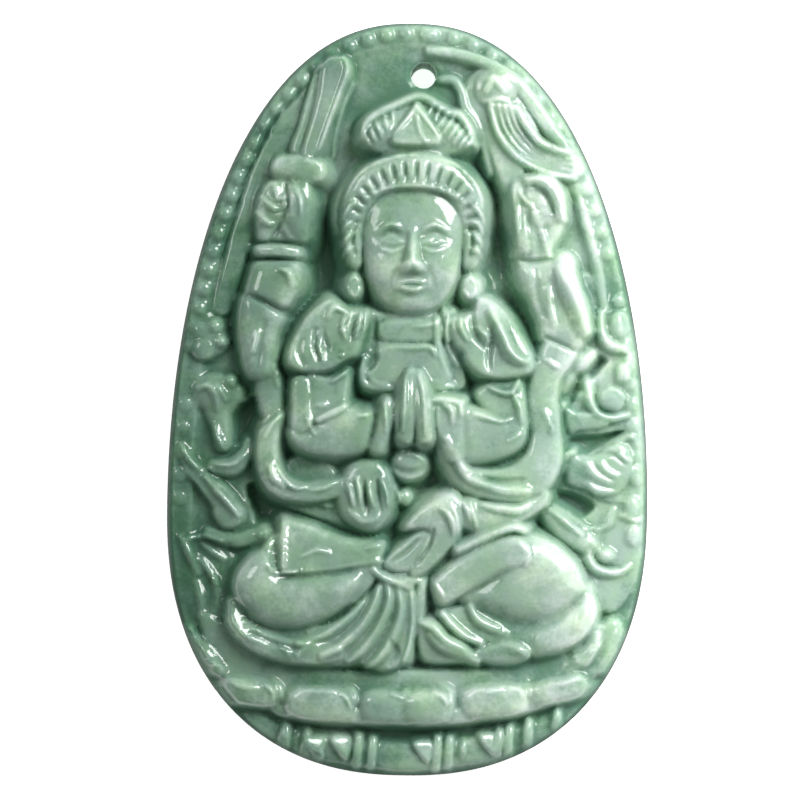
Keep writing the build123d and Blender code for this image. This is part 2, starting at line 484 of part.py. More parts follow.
def carve_hands(stone):
    # Knot under the hands
    stone.dome(1, -63, 19, 18, 62, 16)
    # Two palms pressed together, with a thumb and a cuff beside them
    stone.ridge([(2, 25, 5, 82), (0, 8, 8, 92), (-2, -14, 10, 96), (-3, -34, 9, 90)], 0.7)
    stone.ridge([(9, 23, 5, 84), (12, 6, 7, 94), (14, -14, 8, 98), (16, -36, 8, 92)], 0.7)
    stone.ridge([(-20, -4, 5, 80), (-23, -22, 7, 87), (-30, -47, 8, 82)], 0.7)
    stone.panel([(25, 0, 76), (40, -2, 78), (55, -5, 80), (54, -30, 82), (55, -56, 80), (40, -60, 76),
                 (33, -44, 78), (27, -22, 78)], 6, 0.6)
    # Lower left hand
    stone.panel([(-64, -76, 66), (-54, -63, 68), (-36, -58, 70), (-22, -66, 70), (-15, -84, 70),
                 (-16, -110, 70), (-26, -127, 68), (-36, -131, 66), (-50, -127, 66), (-64, -116, 66),
                 (-70, -96, 64)], 14, 0.6)
    stone.dome(-3, -97, 8, 9, 44, 8)
    # Lower right hand, reaching down to the left
    stone.panel([(12, -130, 68), (22, -131, 70), (20, -142, 70), (9, -157, 70), (3, -169, 68),
                 (-13, -169, 66), (-23, -164, 64), (-18, -154, 65), (-2, -140, 67)], 6, 0.5)
    stone.panel([(-2, -127, 70), (6, -113, 74), (22, -101, 78), (44, -92, 79), (53, -104, 80),
                 (52, -130, 79), (36, -152, 77), (14, -173, 72), (3, -171, 70), (9, -159, 72),
                 (17, -143, 75), (23, -131, 76), (16, -127, 74)], 7, 0.6)


def carve_head(stone):
    # Ears and ear drops
    for side in (-1, 1):
        mid = 2 + 57 * side
        stone.ridge([(mid, 176, 6, 60), (mid + 3 * side, 158, 9, 66), (mid, 136, 8, 60)], 0.6)
        stone.dome(mid + side, 111, 11, 15, 60, 14)
    # Crown, with a lobe each side of its middle leaf
    stone.panel([(-48, 250, 64), (-47, 262, 62), (-40, 272, 60), (-28, 281, 58), (-12, 289, 56),
                 (3, 294, 56), (15, 293, 56), (28, 285, 58), (42, 277, 60), (54, 265, 62),
                 (60, 249, 66), (34, 240, 74), (3, 238, 78), (-30, 240, 72)], 16, 0.7, 2)
    stone.dome(-27, 262, 16, 12, 70, 10, 20)
    stone.dome(34, 261, 16, 13, 73, 10, -20)
    stone.panel([(5, 292, 64), (12, 284, 68), (27, 256, 80), (20, 250, 82), (-12, 250, 82),
                 (-19, 256, 80), (-2, 284, 68)], 5, 0.6)
    # Hair round the forehead
    stone.ridge([(-55, 152, 9, 62), (-57, 176, 12, 68), (-49, 201, 15, 76), (-30, 218, 16, 81),
                 (2, 224, 17, 83), (34, 218, 16, 81), (53, 201, 15, 76), (61, 176, 12, 68),
                 (59, 152, 9, 62)], 0.5)


def carve_face(stone):
    """A calm, even face: thirds from hairline to brow, nose and chin, each eye one fifth of it wide."""
    mid = 2
    stone.dome(mid, 149, 49, 66, 79, 22, 0, 2.2, 2.6, 0.12)
    stone.swell(mid, 96, 16, 10, 5)
    for side in (-1, 1):
        stone.swell(mid + 25 * side, 132, 17, 20, 5)
        stone.swell(mid + 20 * side, 160, 14, 9, -6)
        stone.swell(mid + 20 * side, 153, 12, 6, 6)
    stone.fold([(mid, 170, 6, 0), (mid, 158, 7, 8), (mid, 142, 9, 20), (mid, 131, 11, 23),
                (mid, 123, 11, 0)])
    stone.swell(mid, 112, 17, 6, 7)


def carved_height(x, y):
    """The whole carving over points in squares, in millimetres over the deepest ground."""
    stone = Relief(x, y)
    edge_x, edge_y = outline(np.linspace(0, 2 * np.pi, 361))
    edge = from_line(x, y, edge_x, edge_y)
    carve_ground(stone, edge)
    carve_border(stone, edge)
    for carve in (carve_left_arm, carve_right_arm, carve_left_gifts, carve_right_gifts, carve_lotus,
                  carve_robe, carve_ribbons, carve_torso, carve_hands, carve_head, carve_face):
        carve(stone)
    # The front edge is rounded over
    run = edge * SQUARE / FRONT_ROUND
    shelf = FRONT_LOW + (FRONT_TOP - FRONT_LOW) * np.sqrt(1 - (1 - np.minimum(run, 1)) ** 2)
    return np.clip(stone.height, 0, shelf / 100 * RELIEF + FRONT_RISE * np.maximum(run - 1, 0))


def plan_points():
    """Grid corners over the plate: a square grid drawn into a disc, then stretched to the outline."""
    across, upward = np.meshgrid(np.linspace(-1, 1, COLUMNS + 1), np.linspace(-1, 1, ROWS + 1))
    wide = abs(across) > abs(upward)
    long_side = np.where(wide, across, upward)
    share = np.where(wide, upward, across) / np.where(long_side == 0, 1, long_side)
    turn = np.where(wide, share, 2 - share) * np.pi / 4
    u, v = long_side * np.cos(turn), long_side * np.sin(turn)
    edge_x, edge_y = outline(np.linspace(-np.pi, np.pi, 2001))
    facing = np.unwrap(np.arctan2(edge_y / HALF_UP, edge_x / HALF_ACROSS))
    reach = np.interp(np.arctan2(v, u), facing, np.hypot(edge_x / HALF_ACROSS, edge_y / HALF_UP),
            period=2 * np.pi)
    return u * reach * HALF_ACROSS, v * reach * HALF_UP


def triangle(a, b, c):
    return Face(Wire.make_polygon([tuple(a), tuple(b), tuple(c)], close=True))


def carved_plate():
    x, y = plan_points()
    height = np.zeros(x.shape)
    for dx in (-PATCH, 0, PATCH):
        for dy in (-PATCH, 0, PATCH):
            height += carved_height((x + dx).ravel(), (y + dy).ravel()).reshape(x.shape) / 9
    up = HEIGHT / SQUARES_UP
    front = np.stack([x * SQUARE, y * up, FLOOR_THICKNESS + height], axis=2)
    faces = []
    for row in range(ROWS):
        for column in range(COLUMNS):
            a, b = front[row, column], front[row, column + 1]
            d, c = front[row + 1, column], front[row + 1, column + 1]
            if np.linalg.norm(a - c) < np.linalg.norm(b - d):
                faces += [triangle(a, b, c), triangle(a, c, d)]
            else:
                faces += [triangle(a, b, d), triangle(b, c, d)]
    # Side of the plate, in a straight ring and a bevel down to the back
    rim = np.concatenate([front[0, :-1], front[:-1, -1], front[-1, :0:-1], front[:0:-1, 0]])
    waist = rim * (1, 1, 0) + (0, 0, BACK_ROUND)
    back = rim * (1 - 2 * BACK_ROUND / WIDTH, 1 - 2 * BACK_ROUND / HEIGHT, 0)
    for upper, lower in ((rim, waist), (waist, back)):
        for n in range(len(rim)):
            m = (n + 1) % len(rim)
            faces += [triangle(upper[n], lower[n], lower[m]), triangle(upper[n], lower[m], upper[m])]
    faces.append(Face(Wire.make_polygon([tuple(p) for p in back], close=True)))
    return Solid(Shell(faces))


def cord_hole():
    middle = Pos(HOLE_ASIDE, HEIGHT / 2 - HOLE_FROM_TOP, (FLOOR_THICKNESS + RELIEF) / 2)
    return middle * Cylinder(HOLE_DIAMETER / 2, 2 * (FLOOR_THICKNESS + RELIEF))


plate = carved_plate()
with SkipClean():
    pendant = plate - cord_hole()
os.makedirs("parts", exist_ok=True)
export_step(pendant.solids()[0], "parts/jade_pendant.step")
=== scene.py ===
from math import atan, pi, radians

import bpy
import numpy as np
from bpy.props import FloatProperty, FloatVectorProperty, PointerProperty
from mathutils import Euler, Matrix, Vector


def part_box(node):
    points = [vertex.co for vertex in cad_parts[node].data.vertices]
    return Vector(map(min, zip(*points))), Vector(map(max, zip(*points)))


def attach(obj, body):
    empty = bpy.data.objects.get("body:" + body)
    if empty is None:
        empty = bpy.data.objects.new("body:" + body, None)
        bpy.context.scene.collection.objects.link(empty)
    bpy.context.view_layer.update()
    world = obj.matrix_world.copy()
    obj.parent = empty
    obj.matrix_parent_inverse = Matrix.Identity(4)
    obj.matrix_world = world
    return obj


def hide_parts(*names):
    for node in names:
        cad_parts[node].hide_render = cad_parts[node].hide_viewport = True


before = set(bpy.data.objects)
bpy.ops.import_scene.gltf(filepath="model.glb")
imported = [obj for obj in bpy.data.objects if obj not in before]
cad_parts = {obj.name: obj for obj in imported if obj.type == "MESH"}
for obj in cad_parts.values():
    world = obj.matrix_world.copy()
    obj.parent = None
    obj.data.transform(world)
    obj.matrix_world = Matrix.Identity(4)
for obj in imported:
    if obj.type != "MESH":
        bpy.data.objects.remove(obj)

bl_info = {
    "name": "Jade Pendant",
    "version": (1, 0, 0),
    "blender": (4, 5, 0),
    "location": "View3D > Sidebar > Pendant",
    "description": "Carves a jade pendant in relief and lights it on a pale table",
    "category": "Add Mesh",
}

# The plate lies on its flat back: X to the right, Y to its top, Z out of the carving.
# The drawing is squared up, with squares counted from the middle of the plate. The tables give
# places and half-widths in squares, and tops in hundredths of the relief. Other lengths are
# millimetres.
PLATE_LOW, PLATE_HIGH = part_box("jade_pendant")
MM = 0.001
WIDTH = (PLATE_HIGH.x - PLATE_LOW.x) / MM
HEIGHT = (PLATE_HIGH.y - PLATE_LOW.y) / MM
WIDEST_FROM_FOOT = 20.1
FLOOR_THICKNESS = 2.4
RELIEF = 5.4
BACK_ROUND = 0.5
FRONT_ROUND = 0.95
FRONT_LOW = 6
FRONT_TOP = 44
FRONT_RISE = 9.0
SQUARES_ACROSS = 479.0
SQUARES_UP = 750.0
SIDE_POWER = 2.3
CROWN_POWER = 2.05
DRAFT = 3.0
BLEND = 0.3
GROUND = 18
GROUND_RISE = 8
GROUND_RISE_REACH = 40

# Border of beads
BAND_WIDTH = 1.9
BAND_TOP = 36
BAND_FALL = 1.2
BAND_DROP = 12
BAND_FADE_START = -215
BAND_FADE_LENGTH = 60
BEAD_WIDTH = 1.1
BEAD_PITCH = 1.46
BEAD_FROM_EDGE = 1.03
BEAD_TOP = 42

# Cord hole
HOLE_DIAMETER = 1.9
HOLE_FROM_TOP = 4.05
HOLE_ASIDE = 0.84

# Length of a step along a run in squares, the grid of the carved front, and how much closer
# its columns are in the middle
STRIDE = 2.5
COLUMNS = 236
ROWS = 360
CROWDING = 0.25
THIN_FOLD = 3
HOLE_LIP = 0.22

# How pale the stone is, from nought to one: by its height, and by how far it stands out from what
# lies a few steps of the grid away: partly the stone's own deeper green in its hollows, partly
# painted shade in hollows and creases and a painted highlight on tops and edges. Rows of STAND_OUT
# are steps, share, least and most.
TONE_OF_GROUND = 0.29
TONE_OF_HEIGHT = 0.33
STAND_OUT = ((2, 4, -0.09, 0.13), (6, 0.7, -0.11, 0.2), (18, 0.35, -1, 1))
LEAST_TONE = 0.12
# The band is darker out to its inner edge, and steep walls get painted shade, most of all near the
# rim
BAND_SHADE = 0.14
BAND_EDGE = 23
STEEP = 0.7
STEEPEST = 1.6
WALL_SHADE = 0.05
WALL_SHADE_AT_RIM = 0.3
WALL_RIM_REACH = 14
# Painted shade: the dark line round the edge fades over this many squares
RIM_REACH = 6
# Pale, polish and rim of the plate's side and back, and of the wall of the cord hole: the side and
# back get painted shade, dark like the rim, and the hole's wall a painted glow in place of its
# shade
SIDE_SHADE_AND_POLISH = (("raised", 0.4), ("polish", 0.3), ("rim", 0.75))
HOLE_GLOW_AND_POLISH = (("raised", 0.75), ("polish", 0.0), ("rim", 0.0))

# The picture, in squares to a side, and how the plate sits in it
PICTURE = 800.0
PLATE_ASIDE = 8.5
PLATE_UP = 0.5
LEAN = 1 / 80

# Stage, in metres: the table and how far it lies under the plate, and places and sizes of the lamps
TABLE_REACH = 0.4
TABLE_UNDER = 0.00002
KEY_PLACE = (0.13, 0.12, 0.17)
KEY_SIZE = 0.13
FILL_PLACE = (-0.16, 0.08, 0.20)
FILL_SIZE = 0.08
SKY_STRENGTH = 0.285

SQUARE = WIDTH / SQUARES_ACROSS
HALF_ACROSS = SQUARES_ACROSS / 2
HALF_UP = SQUARES_UP / 2
WIDEST = (WIDEST_FROM_FOOT / HEIGHT - 0.5) * SQUARES_UP
BEAD_HALF = BEAD_WIDTH / 2 / SQUARE


def outline(turn):
    """Edge of the plate in squares: a superellipse round its widest line, longer above it."""
    across, upward = np.cos(turn), np.sin(turn)
    above = upward > 0
    reach = np.where(above, HALF_UP - WIDEST, HALF_UP + WIDEST)
    power = np.where(above, CROWN_POWER, SIDE_POWER)
    x = HALF_ACROSS * np.sign(across) * abs(across) ** (2 / SIDE_POWER)
    y = WIDEST + reach * np.sign(upward) * abs(upward) ** (2 / power)
    return x, y


def from_line(x, y, line_x, line_y):
    """Distance in squares from a line through points."""
    nearest = np.full(x.shape, np.inf)
    for x0, y0, x1, y1 in zip(line_x[:-1], line_y[:-1], line_x[1:], line_y[1:]):
        dx, dy = x1 - x0, y1 - y0
        along = np.clip(((x - x0) * dx + (y - y0) * dy) / (dx * dx + dy * dy), 0, 1)
        nearest = np.minimum(nearest, np.hypot(x - x0 - along * dx, y - y0 - along * dy))
    return nearest


def eased(sections, closed=False):
    """A smooth run through sections, in which each column follows a Catmull-Rom curve."""
    rows = np.array(sections, float)
    if len(rows) < 3:
        return rows
    if closed:
        led = np.vstack([rows[-1], rows, rows[0], rows[1]])
    else:
        led = np.vstack([2 * rows[0] - rows[1], rows, 2 * rows[-1] - rows[-2]])
    run = []
    for a, b, c, d in zip(led[:-3], led[1:-2], led[2:-1], led[3:]):
        count = max(2, int(np.hypot(c[0] - b[0], c[1] - b[1]) / STRIDE))
        for t in np.arange(count) / count:
            bend = 2 * a - 5 * b + 4 * c - d + t * (3 * (b - c) + d - a)
            run.append(b + 0.5 * t * (c - a + t * bend))
    return np.array(run + [led[-2]])


def shoulder(q, radius, full, power):
    """Fall in squares at q radii from the top line: a round shoulder, then a straight side."""
    turn = 0.95
    edge = 1 - (1 - turn ** power) ** (1 / power)
    inner = 1 - (1 - np.clip(q, 0, turn) ** power) ** (1 / power)
    return np.where(q < turn, full * inner, full * edge + DRAFT * (q - turn)) * radius


class Relief:
    """Heights in millimetres over the deepest ground, raised and cut form by form."""

    def __init__(self, x, y):
        self.x = x
        self.y = y
        self.height = np.zeros(x.shape)

    def near(self, run, reach):
        """Which points lie in the box round a run, widened by the reach."""
        low = run[:, :2].min(axis=0) - reach
        high = run[:, :2].max(axis=0) + reach
        return (self.x > low[0]) & (self.x < high[0]) & (self.y > low[1]) & (self.y < high[1])

    @staticmethod
    def inside(x, y, run):
        """Distance in squares in from a closed run, and under nought outside it."""
        crossings = np.zeros(x.shape, int)
        for (x0, y0), (x1, y1) in zip(run[:-1, :2], run[1:, :2]):
            if y0 != y1:
                level = (y0 > y) != (y1 > y)
                crossings += level & (x < x0 + (y - y0) / (y1 - y0) * (x1 - x0))
        return from_line(x, y, run[:, 0], run[:, 1]) * np.where(crossings % 2 == 1, 1, -1)

    def join(self, at, new):
        """The higher of the old and new surface, with a small fillet where they meet."""
        old = self.height[at]
        fillet = np.maximum(BLEND - abs(old - new), 0) ** 2 / (4 * BLEND)
        self.height[at] = np.maximum(old, new) + fillet

    def ridge(self, sections, full=0.6, power=2.2):
        """A rounded body along a run. Sections are x, y, half-width and top."""
        run = eased(sections)
        tops = run[:, 3] / 100 * RELIEF
        reach = run[:, 2].max() + tops.max() / SQUARE / DRAFT
        at = self.near(run, reach)
        x, y = self.x[at], self.y[at]
        best = np.full(x.shape, -RELIEF)
        for n in range(len(run) - 1):
            (x0, y0, half0, _), (x1, y1, half1, _) = run[n], run[n + 1]
            dx, dy = x1 - x0, y1 - y0
            along = np.clip(((x - x0) * dx + (y - y0) * dy) / (dx * dx + dy * dy), 0, 1)
            away = np.hypot(x - x0 - along * dx, y - y0 - along * dy)
            half = half0 + along * (half1 - half0)
            fall = shoulder(away / half, half, full, power)
            best = np.maximum(best, tops[n] + along * (tops[n + 1] - tops[n]) - fall * SQUARE)
        self.join(at, best)

    def panel(self, corners, edge=5, full=0.7, power=2.2):
        """A plate with a round edge. Corners are x, y and top, its face the plane nearest them."""
        run = eased(corners, closed=True)
        rows = np.array(corners, float)
        slope = np.linalg.lstsq(np.c_[rows[:, :2], np.ones(len(rows))], rows[:, 2], rcond=None)[0]
        at = self.near(run, rows[:, 2].max() / 100 * RELIEF / SQUARE / DRAFT)
        x, y = self.x[at], self.y[at]
        fall = shoulder(1 - self.inside(x, y, run) / edge, edge, full, power)
        self.join(at, (slope[0] * x + slope[1] * y + slope[2]) / 100 * RELIEF - fall * SQUARE)

    def dome(self, x, y, half_x, half_y, top, rise, lean=0, power=2.0, plan=2.0, taper=0):
        """A dome on an oval: rise is how far its shoulder falls, in hundredths of the relief."""
        angle = np.radians(lean)
        reach = max(half_x, half_y) * 1.1 + top / 100 * RELIEF / SQUARE / DRAFT
        at = self.near(np.array([[x, y]]), reach)
        dx, dy = self.x[at] - x, self.y[at] - y
        u = dx * np.cos(angle) + dy * np.sin(angle)
        v = dy * np.cos(angle) - dx * np.sin(angle)
        u = u / (1 + taper * np.clip(v / half_y, -1, 1))
        q = (abs(u / half_x) ** plan + abs(v / half_y) ** plan) ** (1 / plan)
        small = min(half_x, half_y)
        full = rise / 100 * RELIEF / SQUARE / small
        self.join(at, top / 100 * RELIEF - shoulder(q, small, full, power) * SQUARE)

    def fold(self, sections):
        """A soft swell along a run, or a groove. Sections are x, y, half-width and lift."""
        run = eased(sections)
        at = self.near(run, run[:, 2].max())
        x, y = self.x[at], self.y[at]
        nearest = np.full(x.shape, np.inf)
        lift = np.zeros(x.shape)
        for (x0, y0, half0, lift0), (x1, y1, half1, lift1) in zip(run[:-1], run[1:]):
            dx, dy = x1 - x0, y1 - y0
            along = np.clip(((x - x0) * dx + (y - y0) * dy) / (dx * dx + dy * dy), 0, 1)
            away = np.hypot(x - x0 - along * dx, y - y0 - along * dy)
            q = away / (half0 + along * (half1 - half0))
            closer = q < nearest
            nearest = np.where(closer, q, nearest)
            bump = np.maximum(1 - q * q, 0) ** 1.5
            lift = np.where(closer, (lift0 + along * (lift1 - lift0)) * bump, lift)
        self.height[at] += lift / 100 * RELIEF

    def folds(self, *runs):
        """Several folds, one after the other."""
        for run in runs:
            self.fold(run)

    def lines(self, *runs):
        """Several thin folds. Sections are x, y and lift."""
        for run in runs:
            self.fold([(x, y, THIN_FOLD, lift) for x, y, lift in run])

    def pit(self, corners, edge=6, steep=3):
        """A sunk place with sloping walls. Corners are x, y and floor."""
        run = eased(corners, closed=True)
        at = self.near(run, 0)
        x, y = self.x[at], self.y[at]
        floor = np.mean([corner[2] for corner in corners]) / 100 * RELIEF
        depth = self.inside(x, y, run)
        wall = floor + np.maximum(edge - depth, 0) ** 2 / edge * steep * SQUARE
        self.height[at] = np.minimum(self.height[at], np.where(depth > 0, wall, np.inf))

    def swell(self, x, y, half_x, half_y, lift, lean=0):
        """A soft swell on the ground, or a dish where lift is under nought."""
        angle = np.radians(lean)
        dx, dy = self.x - x, self.y - y
        u = (dx * np.cos(angle) + dy * np.sin(angle)) / half_x
        v = (dy * np.cos(angle) - dx * np.sin(angle)) / half_y
        self.height += lift / 100 * RELIEF * np.exp(-(u * u + v * v) ** 1.5)


def carve_ground(stone, edge):
    """A level ground, a little higher toward the edge, with soft dishes where it is cut deeper."""
    rise = GROUND_RISE * np.exp(-(edge / GROUND_RISE_REACH) ** 2)
    stone.height[:] = (GROUND + rise) / 100 * RELIEF
    # Shallow sky over the crown
    stone.swell(-10, 335, 85, 44, 12)
    # Deep ground round the head
    for x, y, half_x, half_y, deep, lean in (
            (-75, 165, 26, 60, 18, -12), (-96, 108, 24, 30, 16, -30), (84, 180, 18, 60, 20, 12),
            (112, 72, 18, 36, 22, 15), (0, 76, 60, 14, 10, 0), (158, 158, 16, 26, 4, 0),
            (57, 20, 10, 40, 14, 0), (-58, 15, 8, 40, 14, 0), (0, -85, 50, 28, 8, 0),
            (190, -190, 18, 32, 6, 0)):
        stone.swell(x, y, half_x, half_y, -deep, lean)


def bead_places(first, last):
    """Points one pitch apart along the band, between two directions from the middle, in degrees."""
    edge_x, edge_y = outline(np.linspace(-0.6, 3.8, 4000))
    dx, dy = np.gradient(edge_x), np.gradient(edge_y)
    step = np.hypot(dx, dy)
    x = edge_x - BEAD_FROM_EDGE / SQUARE * dy / step
    y = edge_y + BEAD_FROM_EDGE / SQUARE * dx / step
    facing = np.degrees(np.arctan2(y, x))
    within = (facing >= first) & (facing <= last)
    x, y = x[within], y[within]
    run = np.concatenate([[0], np.cumsum(np.hypot(np.diff(x), np.diff(y)))])
    at = np.linspace(0, run[-1], int(run[-1] * SQUARE / BEAD_PITCH) + 1)
    return zip(np.interp(at, run, x), np.interp(at, run, y))


def carve_border(stone, edge):
    # Flat band, fading out toward the lotus
    fade = np.clip((stone.y - BAND_FADE_START) / BAND_FADE_LENGTH, 0, 1)
    wall = RELIEF * BAND_TOP / 100 - np.maximum(edge * SQUARE - BAND_WIDTH, 0) * BAND_FALL
    stone.join(slice(None), wall - (1 - fade) * BAND_DROP / 100 * RELIEF)
    # Flat strip inside the band
    stone.ridge([(-101, 300, 6, 34), (-117, 274, 11, 37), (-137, 240, 13, 38), (-154, 203, 13, 38),
        (-168, 163, 12, 38), (-178, 125, 11, 37), (-186, 90, 9, 35)], 0.2, 2.6)
    # Beads on the left and top, on the upper right, and below the whisk
    for first, last in ((88, 167), (64, 87), (37, 62), (-6, 26)):
        for x, y in bead_places(first, last):
            stone.dome(x, y, BEAD_HALF, BEAD_HALF, BEAD_TOP, 8, power=2.6)


def detail_border(stone):
    # Groove inside the beads on the left, and fainter beads lower down
    stone.lines(((-112, 303, -5), (-135, 277, -9), (-150, 250, -9), (-163, 220, -9),
        (-172, 190, -9), (-181, 160, -9), (-188, 130, -8), (-194, 105, -6), (-198, 84, -4)))
    for first, last in ((-178, -156), (-24, -8)):
        for x, y in bead_places(first, last):
            stone.dome(x, y, BEAD_HALF, BEAD_HALF, BEAD_TOP - 3, 5, power=2.6)
    # Rim under the beads on the upper right, and its straight run below
    stone.ridge([(16, 345, 4, 44), (42, 342, 5, 48), (70, 334, 5, 49), (95, 321, 5, 49),
        (112, 303, 6, 50), (127, 283, 6, 50), (142, 263, 5, 49), (153, 254, 4, 48),
        (165, 252, 3, 44)], 0.6, 2.6)
    stone.ridge([(164, 212, 3, 40), (172, 183, 4, 43), (182, 150, 4, 43), (188, 122, 4, 43),
        (194, 90, 3, 42)], 0.7, 2.6)


def carve_left_arm(stone):
    # Blade with a bevel on its left, its guard, and the fist on its grip
    stone.panel([(-93, 328, 50), (-69, 337, 56), (-62, 322, 58), (-69, 303, 60), (-79, 276, 60),
        (-92, 242, 60), (-120, 243, 52), (-112, 270, 50), (-104, 300, 48)], 4, 0.9)
    stone.panel([(-88, 330, 52), (-70, 336, 58), (-64, 321, 60), (-71, 302, 62), (-81, 275, 62),
        (-93, 242, 62), (-108, 242, 60), (-100, 272, 58), (-93, 300, 56)], 3, 0.9)
    stone.ridge([(-126, 227, 11, 64), (-110, 226, 12, 67), (-96, 223, 12, 67)], 0.5, 2.6)
    stone.panel([(-140, 213, 60), (-120, 213, 66), (-102, 212, 68), (-97, 195, 68), (-99, 170, 70),
        (-106, 152, 66), (-146, 152, 58), (-153, 170, 56), (-151, 195, 57)], 9, 0.7)
    stone.dome(-113, 184, 14, 28, 76, 16, 8)
    # Bracelet, sleeve and lower arm
    stone.ridge([(-147, 145, 7, 60), (-130, 145, 7, 67), (-113, 143, 7, 63)], 0.7)
    stone.panel([(-153, 135, 64), (-130, 137, 70), (-110, 134, 70), (-106, 115, 72), (-113, 98, 74),
        (-124, 87, 76), (-150, 90, 72), (-163, 100, 66), (-161, 118, 64)], 18, 0.7)
    stone.panel([(-166, 102, 62), (-150, 104, 66), (-130, 98, 68), (-122, 84, 68), (-128, 62, 70),
        (-131, 40, 70), (-134, 22, 68), (-150, 16, 66), (-162, 24, 64), (-169, 50, 66),
        (-171, 80, 64)], 17, 0.7)
    stone.ridge([(-138, 18, 14, 58), (-137, 0, 14, 57), (-134, -14, 12, 54)])


def detail_left_arm(stone):
    # Sharp edge and facets of the blade, and the ledge beside it
    stone.fold([(-69, 338, 3, 5), (-63, 326, 4, 8), (-69, 306, 3, 8), (-78, 280, 3, 8),
        (-90, 245, 3, 6)])
    stone.lines(
        ((-94, 322, -2), (-98, 295, -4), (-105, 265, -4), (-110, 246, -2)),
        ((-58, 312, 8), (-66, 292, 9), (-73, 268, 9), (-78, 240, 7)))
    # Guard, and the fingers of the fist
    stone.lines(((-104, 234, 3), (-86, 231, 4)))
    stone.folds(
        ((-148, 197, 4, 5), (-134, 186, 4, 8)), ((-152, 182, 4, 5), (-139, 171, 4, 8)),
        ((-134, 211, 3, 4), (-131, 196, 4, 7)),
        ((-124, 210, 3, -6), (-121, 190, 3, -9), (-126, 176, 3, -7), (-137, 156, 4, -5)),
        ((-114, 208, 4, 4), (-108, 195, 4, 8), (-107, 180, 4, 4)))
    stone.lines(((-128, 180, 5), (-125, 168, 8), (-118, 157, 6)))
    # Bracelet grooves, and the creases of the sleeve
    for y in (152, 136):
        stone.lines(((-154, y, -5), (-132, y + 1, -7), (-109, y, -5)))
    stone.folds(
        ((-128, 127, 4, 4), (-119, 123, 5, 8), (-115, 110, 4, 4)),
        ((-160, 101, 4, -3), (-146, 96, 4, -7), (-127, 85, 4, -8), (-118, 79, 3, -4)),
        ((-148, 64, 4, 3), (-153, 46, 4, 5)),
        ((-142, 74, 4, -3), (-146, 50, 4, -4), (-148, 30, 4, -2)))
    stone.lines(((-125, 56, 5), (-130, 40, 7), (-128, 24, 4)), ((-132, 32, 5), (-128, 12, 6)))


def carve_right_arm(stone):
    # Swell beside the cord hole, with the rolled edge of the robe
    stone.panel([(55, 318, 42), (70, 328, 46), (92, 318, 48), (112, 290, 48), (125, 262, 46),
        (112, 232, 46), (108, 196, 48), (97, 200, 48), (86, 222, 46), (76, 245, 46), (66, 268, 46),
        (54, 288, 44), (51, 304, 42)], 8, 0.5)
    stone.dome(82, 308, 22, 20, 54, 10)
    # Whisk of five strands that sweep outwards
    for strand in range(5):
        out = 7.6 * strand
        stone.ridge([(78 + 0.8 * out, 290 - 0.1 * out, 4, 56),
            (88 + 0.75 * out, 263 + 0.25 * out, 4, 60), (107 + 0.6 * out, 241 + 0.42 * out, 4, 60),
            (134 + 0.35 * out, 228 + 0.58 * out, 4, 57),
            (160 + 0.1 * out, 222 + 0.72 * out, 4, 50)], 0.9)
    stone.panel([(146, 246, 48), (163, 250, 48), (170, 235, 46), (166, 223, 46),
        (150, 225, 50)], 6, 0.4)
    # Fist, sleeve and lower arm
    stone.panel([(99, 214, 58), (118, 216, 66), (133, 208, 68), (146, 190, 66), (149, 172, 62),
        (139, 150, 62), (138, 138, 62), (106, 138, 60), (104, 160, 58), (100, 185, 58)], 9, 0.6)
    stone.dome(127, 194, 18, 24, 72, 14, 12)
    stone.panel([(150, 226, 28), (166, 216, 28), (178, 170, 28), (186, 122, 28), (174, 122, 28),
        (158, 140, 28), (148, 165, 28)], 6, 0.3)
    stone.ridge([(114, 216, 4, 68), (131, 215, 5, 75), (143, 201, 5, 76), (147, 180, 4, 70)], 0.8)
    stone.ridge([(103, 208, 5, 62), (107, 180, 6, 66), (112, 150, 6, 66)])
    stone.panel([(105, 140, 60), (120, 138, 66), (142, 142, 70), (158, 128, 72), (170, 108, 72),
        (177, 85, 72), (174, 62, 72), (163, 49, 72), (142, 52, 74), (127, 60, 74), (124, 78, 72),
        (116, 98, 66), (106, 118, 62)], 20, 0.7)
    stone.ridge([(150, 134, 8, 74), (154, 114, 9, 80), (164, 90, 9, 80), (170, 70, 7, 76)], 0.5)
    stone.ridge([(147, 50, 18, 70), (135, 25, 15, 68), (132, 0, 15, 67),
        (133, -20, 15, 68)], 0.5, 2.4)


